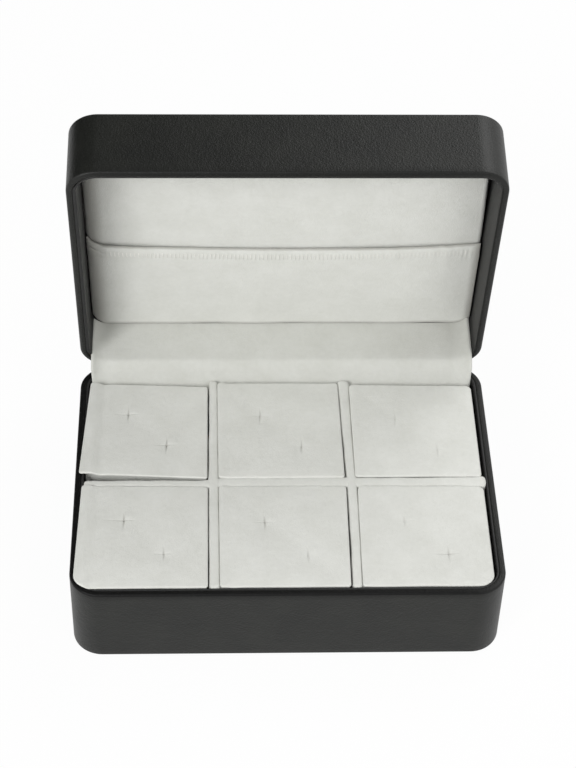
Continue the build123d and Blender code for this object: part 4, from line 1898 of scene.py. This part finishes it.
@dataclass
class HingeFlap:
    """The velvet flap that covers the hinge from the lid's rear wall to the cushions.

    Its length is counted from the lid.  A wave is a depth and its wavelengths, a row is a share of
    the length and how far a bell reaches there, and a shade is painted shade: how dark the cloth
    gets, then the X where it starts and the X where it is full.
    """

    thickness: float = 0.8
    wall_gap: float = 0.3
    rim_gap: float = 0.5
    lid_height: float = 18.3
    dip: float = 4.0
    tuck: float = 9.0
    well: float = 7.1
    pad_gap: float = 0.3
    bend: float = 2.5
    well_bend: float = 2.0
    columns: int = 150
    bunching: float = 0.25
    rows: int = 64
    hem: float = 0.5
    edge_stops: Triple = (0.0, 0.55, 0.8)
    left_edge: Triple = (-75.4, -75.9, -75.3)
    right_edge: Triple = (76.3, 76.3, 75.5)
    corner_fade: Pair = (0.8, 0.55)
    divider_ends: Pair = (-27.1, 24.6)
    divider_push: Pair = (0.45, 2.6)
    divider_row: Pair = (0.66, 2.2)
    lid_wave: Waves = (0.16, (31.0, 57.0, 19.0))
    lid_row: Pair = (0.3, 9.0)
    fold_wave: Waves = (0.1, (13.0, 22.0))
    fold_row: Pair = (0.6, 5.0)
    fold_lean: float = 0.7
    edge_share: float = 0.12
    shade: Triple = (0.12, 20.0, 60.0)
    shade_fade: Pair = (0.55, 0.35)
    blend_start: Pair = (-6.0, -1.5)
    blend_end: Pair = (3.0, 5.0)

    def section(self) -> tuple[Points, Points]:
        """Work out the flap's section as places back of and above the pin line.

        It runs down the lid's wall, straight over both rims, forward and down to the
        cushions and then down behind them, and its corners are rounded.

        Returns:
            The section's places, closer at its ends, and the distance to each along it.
        """
        turn = radians(CASE.lid_opening)

        def opened(back: float, up: float) -> Points:
            """Swing a place of the shut lid open."""
            return np.array([back * cos(turn) + up * sin(turn), up * cos(turn) - back * sin(turn)])

        half = self.thickness / 2
        reach = CASE.rim_thickness + self.wall_gap + half
        lid_corner = opened(-CASE.rim_thickness, CASE.rim_gap / 2)
        base_corner = np.array([-CASE.rim_thickness, -CASE.rim_gap / 2])
        over = unit(base_corner - lid_corner)
        clear = np.array([over[1], -over[0]]) * (self.rim_gap + half)
        head, down = opened(-reach, self.lid_height), opened(0.0, 1.0)
        across = np.linalg.solve(np.stack([down, -over], axis=1), lid_corner + clear - head)
        lid_bend = head + down * across[0]
        base_bend = base_corner + clear
        well_front = -(CASE.rim_thickness + self.well - self.pad_gap - half)
        well_bend = np.array([well_front, -self.dip])
        foot = well_bend - np.array([0.0, self.tuck])
        path = rounded_path(
            (head, lid_bend, base_bend, well_bend, foot),
            (self.bend, self.bend, self.well_bend),
            steps=10,
        )
        steps = np.linalg.norm(np.diff(path, axis=0), axis=1)
        run = np.concatenate([[0.0], np.cumsum(steps)])
        ends = self.hem * (1.0 - np.cos(np.linspace(0.0, pi / 2, 5)))
        even = np.linspace(2 * self.hem, run[-1] - 2 * self.hem, self.rows)
        rows = np.unique(np.concatenate([ends, run[-1] - ends, even]))
        section = np.stack([np.interp(rows, run, path[:, axis]) for axis in (0, 1)], axis=1)
        return section, rows

    def build(self) -> None:
        """Stretch the flap across, over the rims at the hinge, and dress it.

        A place is the section's place at its row, pushed out along the section's normal
        where the case's corners are round, where a divider's end lies under it, and by a
        slight unevenness.
        """
        section, run = self.section()
        length = run[-1]
        slope = unit(np.gradient(section, run, axis=0))
        normal = np.stack([slope[:, 1], -slope[:, 0]], axis=1)
        edges = (self.left_edge, self.right_edge)
        left, right = (np.interp(run / length, self.edge_stops, edge) for edge in edges)
        even = np.linspace(0.0, 1.0, self.columns)
        spread = self.bunching * (0.5 - 0.5 * np.cos(pi * even)) + (1.0 - self.bunching) * even
        x = left[:, None] + (right - left)[:, None] * spread[None]
        rows = np.broadcast_to(run[:, None], x.shape)
        shares = rows / length
        at_divider, at_lid, at_fold = (
            bell(rows, share * length, reach)
            for share, reach in (self.divider_row, self.lid_row, self.fold_row)
        )
        push = CORNERS.forward(x) * ease(*self.corner_fade, shares)
        depth, width = self.divider_push
        for end_x in self.divider_ends:
            push += bump((depth, end_x, width), x) * at_divider
        push += ripple(self.lid_wave, x, 31) * at_lid
        push += ripple(self.fold_wave, x + self.fold_lean * rows, 32) * at_fold
        place = section[:, None] + normal[:, None] * push[..., None]
        back, up = place[..., 0], place[..., 1]
        middle = np.stack([x, CASE.pin_y + back, CASE.pin_z + up], axis=-1)
        from_side = np.minimum(x - left[:, None], right[:, None] - x)
        from_end = np.minimum(rows, length - rows)
        edge = np.clip(np.minimum(from_side, from_end) / (self.thickness / 2), 0.0, 1.0)
        rounded = np.sqrt(1.0 - (1.0 - edge) ** 2)
        thick = self.thickness * (self.edge_share + (1.0 - self.edge_share) * rounded)
        points, faces = ladder_tube(sheet_loops(middle, thick))
        cloth = flat_cloth(x, rows, 60.0)
        # Painted shade on the flap's upper part, under the pocket's foot, darker towards the
        # right.
        shaded = step_up(self.shade, x) * ease(*self.shade_fade, shares)
        marks = {SHADE_AND_PARTING_MARK: both_faces(shaded)}
        piece = make_piece("hinge_flap_cloth", points, faces, cloth, marks)
        dress(piece, VELVET_FLAP_SHADED)
        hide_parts("hinge_flap")
        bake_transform(piece)
        log.info("made %s: %d faces, between base and lid", piece.name, len(faces))


# ------------------------------ lid lining


@dataclass
class LidLining:
    """The lid's padded panel, and the gathered pocket over its lower part.

    A wave is a depth and its wavelengths, and a bell its height, middle and width.  A shade is
    painted shade: how dark the cloth gets, then where it starts and where it is full.
    """

    panel_round: float = 1.6
    panel_roll: Pair = (6.5, 3.2)
    panel_lip: float = 3.6
    panel_turn: Pair = (0.1, 0.2)
    panel_inset: float = 3.7
    panel_sides: Triple = (0.3, 0.9, 0.4)
    panel_lines: tuple[int, int] = (60, 44)
    panel_under: Triple = (0.35, 0.3, 0.0)
    panel_held: Pair = (0.9, 1.6)
    panel_under_pocket: float = 4.0
    panel_swell: float = 0.5
    panel_wave: float = 0.12
    panel_fill: float = 0.7
    # Painted shadow of the lid's left wall on the panel's and the pocket's left margins.
    left_shade: Triple = (0.68, -67.5, -74.5)
    pocket_height: float = 48.3
    pocket_left: float = -75.9
    pocket_right: float = 76.6
    pocket_roll: Pair = (6.1, 3.0)
    most_rolled: float = 0.97
    mouth: float = 4.72
    mouth_sag: float = 3.2
    mouth_curls: tuple[Triple, ...] = (
        (0.25, -40.0, -70.0),
        (2.1, -70.5, -77.5),
    )
    foot: float = 54.8
    cloth: float = 0.6
    hem: float = 6.0
    hem_thickness: float = 1.3
    hem_face: float = 53.8
    foot_face: float = 53.5
    level_past: Pair = (8.0, 4.0)
    open_ends: tuple[Triple, ...] = ((0.75, -62.0, 15.0), (0.5, 46.0, 24.0))
    open_fade: Pair = (14.0, 0.0)
    gathers: Waves = (0.16, (7.3, 11.9, 5.1))
    gather_fade: Pair = (15.0, 2.0)
    least_gathered: float = 0.45
    gathered: Triple = (0.9, 45.0, 72.0)
    folds: Waves = (0.22, (47.0, 29.0))
    fold_lean: float = 0.35
    fold_rise: Pair = (4.0, 18.0)
    pleats: Pair = (0.05, 0.14)
    ridge_place: float = 0.9
    sewn_from: Pair = (1.6, 2.8)
    sewn_to: Pair = (6.2, 5.0)
    drawn_from: Pair = (-64.0, -48.0)
    drawn_to: Pair = (48.0, 20.0)
    least_drawn: float = 0.3
    lip: Triple = (0.4, 0.0, 1.3)
    hem_crease: Triple = (0.5, 3.2, 0.6)
    crease_left: Pair = (-66.0, -73.0)
    tucks: Triple = (0.06, 5.0, 3.0)
    tuck_pitch: float = 1.9
    tucks_right: Pair = (66.0, 70.0)
    # Painted shade by the right wall, along the mouth's lip and along the foot.
    right_shade: Triple = (0.7, 73.0, 76.3)
    mouth_shade: Triple = (0.45, 0.9, 0.1)
    foot_shade: Triple = (0.62, 46.9, 47.9)
    hem_round: float = 0.75
    edge_round: float = 0.45
    edge_share: float = 0.1
    corner_use: float = 0.98
    elastic_margins: Pair = (3.0, 2.0)
    elastic_place: float = 1.2
    elastic_width: float = 3.6
    elastic_thickness: float = 0.4
    stitch_pitch: float = 1.55
    stitch_reach: float = 1.4
    stitch_return: float = 0.8
    stitch_place: float = 3.9
    stitch_margins: Pair = (8.0, 5.0)
    stitch_turn: float = 0.08
    stitch_heights: Triple = (0.06, 0.2, 0.45)
    thread_radius: float = 0.15

    def panel(self) -> None:
        """Make the padded panel: a flat pad whose edges roll back, swollen as cloth.

        Over an angle its edge's inset is width (1 - sine), and its height rises by depth
        (1 - cosine); both are greater along the left.  Behind it the cover turns in.
        """
        lines = (np.linspace(0.0, 1.0, count)[1:-1] for count in self.panel_lines)
        plan = case_plan(*lines, arc_steps=8)
        angles = np.linspace(0.0, pi / 2, 8)[:, None]
        places, outward = plan.loop()
        to_left = np.clip(-outward[:, 0], 0.0, 1.0) ** 6
        width, depth = (
            self.panel_round + (roll - self.panel_round) * to_left for roll in self.panel_roll
        )
        left, top_right, low_right = self.panel_sides
        up = ease(self.mouth, -CASE.depth / 2, places[:, 1])
        edge = self.panel_inset + left * to_left
        to_right = np.clip(outward[:, 0], 0.0, 1.0)
        edge = edge + to_right * (top_right * up - low_right * (1.0 - up))
        insets = edge + width * (1.0 - np.sin(angles))
        heights = CASE.panel_face + depth * (1.0 - np.cos(angles))
        lip = np.minimum(edge, self.panel_lip)
        turned, step = self.panel_turn
        insets = np.concatenate([insets, [edge + turned, lip, lip + step]])
        below = np.array(self.panel_under)[:, None]
        under = CASE.panel_card_under - below * np.ones(len(places))
        loops = rings(plan, insets, np.concatenate([heights, under]))
        points, faces, _ = capped_tube(loops, plan.sides)
        free, firm = (CASE.panel_face + height for height in self.panel_held)
        held = np.round(ease(free, firm, points[:, 2]), 1)
        held = np.where(points[:, 1] > self.mouth + self.panel_under_pocket, 1.0, held)
        moved = PRESS.swell(points, faces, held, self.panel_swell)
        points[:, 2] += moved[:, 2]
        share = ease(CASE.panel_face + 1.0, CASE.panel_face, points[:, 2])
        x, y = points[:, 0], points[:, 1]
        uneven = wander(x, (43.0, 27.0), 41) * wander(y, (33.0, 21.0), 42)
        points[:, 2] += self.panel_wave * share * uneven
        # Painted shadow along the panel's left margin.
        marks = {SHADE_AND_PARTING_MARK: step_up(self.left_shade, x)}
        piece = make_piece("lid_panel_velvet", swing_open(points), faces, marks=marks)
        seat(dress(piece, VELVET), "lid", "lid_panel_pad")
        dress_nodes(("lid_panel_card",), CARD)

    def mouth_line(self, x: Points) -> Points:
        """Give the Y of the pocket's mouth: a sagging arc whose left end curls up."""
        curl = sum(step_up(curl, x) for curl in self.mouth_curls)
        return self.mouth + self.mouth_sag * (1.0 - (x / self.pocket_right) ** 2) - curl

    def drawn(self, x: Points) -> Points:
        """Give how firmly the stitches draw the cloth: most left of the middle."""
        most = ease(*self.drawn_from, x) * ease(*self.drawn_to, x)
        return self.least_drawn + (1.0 - self.least_drawn) * most

    def face(self, x: Points, inward: Points) -> Points:
        """Give the height of the pocket's outer face.

        It goes evenly from the mouth's height to the foot's.  The hem stands off the
        panel towards both of its ends, gathers ripple it under the mouth and softer folds
        run on below them, and the stitches draw it into small pleats.  Its mouth has a
        lip, its hem a crease on the left and tucks on the right, and its left margin
        rolls back as a quarter ellipse.

        Args:
            x: The places' X.
            inward: How far each place is from the mouth.

        Returns:
            The heights, with the lid shut.
        """
        before, after = self.level_past
        share = ease(-before, self.foot - self.mouth + after, inward)
        level = self.hem_face + (self.foot_face - self.hem_face) * share
        open_ends = sum(bump(end, x) for end in self.open_ends)
        stand_off = -open_ends * ease(*self.open_fade, inward)
        gathers = ripple(self.gathers, x, 51) * ease(*self.gather_fade, inward)
        gathers *= self.least_gathered + step_up(self.gathered, np.abs(x))
        folds = ripple(self.folds, x + self.fold_lean * inward, 52)
        folds *= ease(*self.fold_rise, inward)
        ridges = (0.5 + 0.5 * np.cos(2 * pi * (x / self.stitch_pitch - self.ridge_place))) ** 2
        sewn = ease(*self.sewn_from, inward) * ease(*self.sewn_to, inward)
        pleats = self.pleats[0] - self.pleats[1] * ridges * self.drawn(x) * sewn
        lip = bump(self.lip, inward)
        roll_width, roll_depth = self.pocket_roll
        into = (self.pocket_left + roll_width - x) / roll_width
        into = np.clip(into, 0.0, self.most_rolled)
        roll = roll_depth * (1.0 - np.sqrt(1.0 - into**2))
        crease = bump(self.hem_crease, inward) * ease(*self.crease_left, x)
        tucks = np.cos(2 * pi * x / self.tuck_pitch) * ease(*self.tucks_right, x)
        tucks *= bump(self.tucks, inward)
        return level + stand_off + gathers + folds + pleats + lip + crease + tucks + roll

    def pocket(self) -> None:
        """Make the pocket as one cloth with a thicker hem, and dress it.

        Each row lies at a share of the way from the mouth to the foot.  The cloth thins towards
        its edges as a half-round, and shade is painted along its side margins, its mouth and its
        foot.
        """
        left, right, height = self.pocket_left, self.pocket_right, self.pocket_height
        ends = self.edge_round * (1.0 - np.cos(np.linspace(0.0, pi / 2, 4)))
        finely = np.arange(left + 0.7, right - 0.6, self.stitch_pitch / 6)
        x = np.unique(np.concatenate([left + ends, right - ends, finely]))
        mouth_rows = self.hem_round * (1.0 - np.cos(np.linspace(0.0, pi / 2, 6)))
        rows = (mouth_rows, np.arange(1.1, 8.0, 0.35), np.linspace(8.4, 47.5, 34))
        shares = np.concatenate([*rows, height - ends[::-1]]) / height
        x, share = np.broadcast_to(x[None], (len(shares), len(x))), shares[:, None]
        mouth = self.mouth_line(x)
        foot = self.foot - CORNERS.forward(x) * self.corner_use
        y = mouth + (foot - mouth) * share
        inward = np.broadcast_to(height * share, x.shape)
        at_hem = ease(self.hem + 0.5, self.hem - 0.6, inward)
        thick = self.cloth + (self.hem_thickness - self.cloth) * at_hem
        from_edge = np.minimum(inward, height - inward) / self.hem_round
        from_side = np.minimum(x - left, right - x) / self.edge_round
        near = np.clip(np.minimum(from_edge, from_side), 0.0, 1.0)
        soft = self.edge_share + (1.0 - self.edge_share) * np.sqrt(1.0 - (1.0 - near) ** 2)
        middle = np.stack([x, y, self.face(x, inward) + thick / 2], axis=-1)
        points, faces = ladder_tube(sheet_loops(swing_open(middle), thick * soft))
        # Painted shade along the side margins, the mouth's lip and the foot.
        margins = np.maximum(step_up(self.left_shade, x), step_up(self.right_shade, x))
        edges = step_up(self.mouth_shade, inward) + step_up(self.foot_shade, inward)
        marks = {SHADE_AND_PARTING_MARK: both_faces(np.maximum(margins, edges))}
        cloth = flat_cloth(x, inward, 90.0)
        piece = make_piece("lid_pocket_cloth", points, faces, cloth, marks)
        seat(dress(piece, VELVET_CLOTH), "lid", "lid_pocket")
        self.stitches()

    def stitches(self) -> bpy.types.Object:
        """Sew the hem: steep stitches that lie on the cloth and return inside it.

        The thread's distance from the mouth is a saw's wave along X.  Each steep leg lies
        on the cloth's outer face, and each leg back is inside the cloth.

        Returns:
            The thread.
        """
        start, end = self.stitch_margins
        x = np.arange(self.pocket_left + start, self.pocket_right - end, self.stitch_pitch / 24)
        phase, back = (x / self.stitch_pitch) % 1.0, self.stitch_return
        zigzag = np.interp(phase, (0.0, back, 1.0), (1.0, -1.0, 1.0))
        inward = self.stitch_place + self.stitch_reach * zigzag
        turn, (proud, loose, inside) = self.stitch_turn, self.stitch_heights
        returning = ease(0.0, turn, phase) * ease(back, back - turn, phase)
        height = self.face(x, inward) - proud + loose * (1.0 - self.drawn(x))
        height += inside * returning
        path = swing_open(np.stack([x, self.mouth_line(x) + inward, height], axis=-1))
        thread = ladder_tube(thread_loops(path, self.thread_radius))
        piece = make_piece("pocket_stitches", *thread)
        return seat(dress(piece, THREAD), "lid")

    def elastic(self) -> None:
        """Make the flat elastic inside the hem, which follows the mouth's arc."""
        start, end = self.elastic_margins
        x, across = np.meshgrid(
            np.linspace(self.pocket_left + start, self.pocket_right - end, 90),
            np.linspace(0.0, self.elastic_width, 6),
        )
        inward = self.elastic_place + across
        height = self.face(x, inward) + self.hem_thickness / 2
        middle = np.stack([x, self.mouth_line(x) + inward, height], axis=-1)
        thick = np.full(x.shape, self.elastic_thickness)
        strip = ladder_tube(sheet_loops(swing_open(middle), thick))
        piece = make_piece("pocket_elastic_strip", *strip)
        seat(dress(piece, ELASTIC), "lid", "pocket_elastic")

    def build(self) -> None:
        """Make the panel, the pocket and its elastic."""
        self.panel()
        self.pocket()
        self.elastic()


# ------------------------------ hinges


@dataclass
class Hinges:
    """The two concealed hinges, whose leaves, pins and rivets keep their own shapes."""

    sides: tuple[str, str] = ("left", "right")

    def build(self) -> None:
        """Dress the hinges' steel."""
        for side in self.sides:
            dress_nodes(
                (f"hinge_leaf_base_{side}", f"hinge_leaf_lid_{side}", f"hinge_pin_{side}"), STEEL
            )
        dress_nodes(("hinge_rivets_base", "hinge_rivets_lid"), STEEL)


# ------------------------------ studio


@dataclass(frozen=True)
class Lamp:
    """A soft rectangular lamp that looks at a place."""

    name: str
    place: Triple
    aim: Triple
    size: Pair
    power: float

    def build(self) -> None:
        """Hang the lamp."""
        light = bpy.data.lights.new(self.name, "AREA")
        light.shape, light.size, light.size_y = "RECTANGLE", *self.size
        light.energy = self.power
        lamp = bpy.data.objects.new(self.name, light)
        bpy.context.scene.collection.objects.link(lamp)
        lamp.location = self.place
        towards = Vector(self.aim) - Vector(self.place)
        lamp.rotation_euler = towards.to_track_quat("-Z", "Y").to_euler()


@dataclass
class Studio:
    """A plain pale floor, soft light and the camera."""

    azimuth: float = -2.895
    elevation: float = 45.113
    roll: float = 1.875
    distance: float = 753.35
    target: Triple = (0.155, 1.907, 82.428)
    focus: float = 2053.0
    view_height: float = 768.0
    sensor: float = 36.0
    ambient: float = 0.68
    floor_glow: float = 0.96
    floor_albedo: float = 0.8
    floor_reach: float = 3000.0
    floor_drop: float = 0.1
    lamps: tuple[Lamp, ...] = (
        Lamp("key_softbox", (-1.0, -1.36, 1.15), (0.0, 0.0, 0.05), (0.7, 0.7), 21.4),
        Lamp("fill_softbox", (0.9, -1.2, 1.2), (0.0, 0.0, 0.05), (0.8, 0.8), 4.7),
        Lamp("rear_softbox", (0.55, 0.6, 0.95), (0.0, 0.05, 0.1), (0.6, 0.6), 3.5),
    )
    flags: tuple[tuple[Triple, Pair], ...] = (
        ((-210.0, 330.0, 560.0), (600.0, 600.0)),
        ((-480.0, 470.0, 160.0), (560.0, 300.0)),
        ((-460.0, 310.0, 460.0), (420.0, 420.0)),
    )

    def camera(self) -> None:
        """Place the camera by its azimuth, elevation and roll about the target.

        Its angle of view is twice the arc tangent of half the view's height by the focus.
        """
        around, up_angle, tilt = (radians(v) for v in (self.azimuth, self.elevation, self.roll))
        back = Vector((sin(around) * cos(up_angle), -cos(around) * cos(up_angle), sin(up_angle)))
        level = Vector((0.0, 0.0, 1.0)).cross(back).normalized()
        upright = back.cross(level)
        right = level * cos(tilt) + upright * sin(tilt)
        up = upright * cos(tilt) - level * sin(tilt)
        data = bpy.data.cameras.new("camera")
        data.sensor_fit, data.sensor_height = "VERTICAL", self.sensor
        data.angle_y = 2.0 * atan(self.view_height / 2.0 / self.focus)
        data.clip_start, data.clip_end = 0.01, 20.0
        camera = bpy.data.objects.new("camera", data)
        bpy.context.scene.collection.objects.link(camera)
        place = (Vector(self.target) + back * self.distance) * MM
        turned = Matrix((right, up, back)).transposed().to_4x4()
        camera.matrix_world = Matrix.Translation(place) @ turned
        bpy.context.scene.camera = camera

    def floor(self) -> None:
        """Lay a pale floor that looks white to the camera and keeps a faint shadow."""
        recipe = Recipe("floor_white")
        recipe.set(Roughness=0.9, Specular_IOR_Level=0.1)
        tone = (self.floor_albedo,) * 3
        recipe.colour(recipe.noise(60.0), tuple(0.99 * value for value in tone), tone)
        glow = recipe.add("ShaderNodeEmission")
        glow.inputs["Strength"].default_value = 1.0
        share = recipe.add("ShaderNodeMath", operation="MULTIPLY")
        share.inputs[1].default_value = self.floor_glow
        recipe.join(self.seen_directly(recipe.tree), share.inputs[0])
        self.show(recipe.tree, share.outputs[0], (recipe.shader, glow), "Material Output")
        reach = self.floor_reach
        corners = np.array([[-reach, -reach], [reach, -reach], [reach, reach], [-reach, reach]])
        points = np.concatenate([corners, np.full((4, 1), -self.floor_drop)], axis=1)
        piece = make_piece("floor", points, np.array([[0, 1, 2, 3]]))
        piece.data.materials.append(recipe.material)
        piece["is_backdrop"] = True

    def hang_flags(self) -> None:
        """Hang black cards behind the box to the left, which darken what mirrors them."""
        recipe = Recipe("flag_black")
        recipe.set(Roughness=0.9)
        recipe.colour(recipe.noise(40.0), (0.01, 0.01, 0.01), (0.015, 0.015, 0.015))
        for order, (place, size) in enumerate(self.flags):
            facing = unit(-np.array(place))
            level = unit(np.cross(np.array([0.0, 0.0, 1.0]), facing))
            upright = np.cross(facing, level)
            corners = [
                place + across * size[0] / 2 * level + up * size[1] / 2 * upright
                for across, up in ((-1, -1), (1, -1), (1, 1), (-1, 1))
            ]
            piece = make_piece(f"flag_{order}", np.array(corners), np.array([[0, 1, 2, 3]]))
            piece.data.materials.append(recipe.material)
            piece.visible_camera = False
            piece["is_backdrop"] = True

    @staticmethod
    def show(
        tree: bpy.types.NodeTree, share: Socket, shaders: Sequence[bpy.types.Node], output: str
    ) -> None:
        """Show a blend of two shaders.

        Args:
            tree: The nodes that the shaders are among.
            share: How much of the second shader shows.
            shaders: The two shaders.
            output: The name of the output node.
        """
        blend = tree.nodes.new("ShaderNodeMixShader")
        sources = (share, *(shader.outputs[0] for shader in shaders))
        for source, target in zip(sources, blend.inputs):
            tree.links.new(source, target)
        tree.links.new(blend.outputs[0], tree.nodes[output].inputs["Surface"])

    @staticmethod
    def seen_directly(tree: bpy.types.NodeTree) -> Socket:
        """Tell what the camera sees, itself or mirrored or through glass.

        Args:
            tree: The nodes to add to.

        Returns:
            1 where it is seen like this, or else 0.
        """
        path = tree.nodes.new("ShaderNodeLightPath")
        total = path.outputs["Is Camera Ray"]
        for name in ("Is Glossy Ray", "Is Transmission Ray"):
            larger = tree.nodes.new("ShaderNodeMath")
            larger.operation = "MAXIMUM"
            tree.links.new(total, larger.inputs[0])
            tree.links.new(path.outputs[name], larger.inputs[1])
            total = larger.outputs[0]
        return total

    def world(self) -> None:
        """Light the box evenly from all round, and show white where nothing stands."""
        world = bpy.data.worlds.new("studio")
        world.use_nodes = True
        tree = world.node_tree
        even, white = tree.nodes["Background"], tree.nodes.new("ShaderNodeBackground")
        for node, strength in ((even, self.ambient), (white, 1.0)):
            node.inputs["Color"].default_value = WHITE
            node.inputs["Strength"].default_value = strength
        self.show(tree, self.seen_directly(tree), (even, white), "World Output")
        bpy.context.scene.world = world

    def build(self) -> None:
        """Set the studio up."""
        bpy.context.scene.view_settings.view_transform = "Standard"
        self.camera()
        self.floor()
        self.hang_flags()
        self.world()
        for lamp in self.lamps:
            lamp.build()


def listed(bounds: Any) -> Any:
    """Turn nested vectors into plain lists of numbers.

    Args:
        bounds: A number, or vectors of numbers.

    Returns:
        The same number, or the same numbers in lists.
    """
    if isinstance(bounds, (int, float)):
        return float(bounds)
    return [listed(value) for value in bounds]


def main() -> None:
    """Build the box piece by piece, and the studio round it."""
    logging.basicConfig(level=logging.INFO, format="%(name)s: %(message)s")
    frame_box = listed(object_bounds())
    steps: tuple[Callable[[], None], ...] = (
        Studio().build,
        CaseHalf(Half.BASE).build,
        CaseHalf(Half.LID).build,
        Tray().build,
        Hinges().build,
        HingeFlap().build,
        LidLining().build,
    )
    for step in steps:
        step()
    {"cad": frame_box, "visual": listed(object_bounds())}


if __name__ == "__main__":
    main()
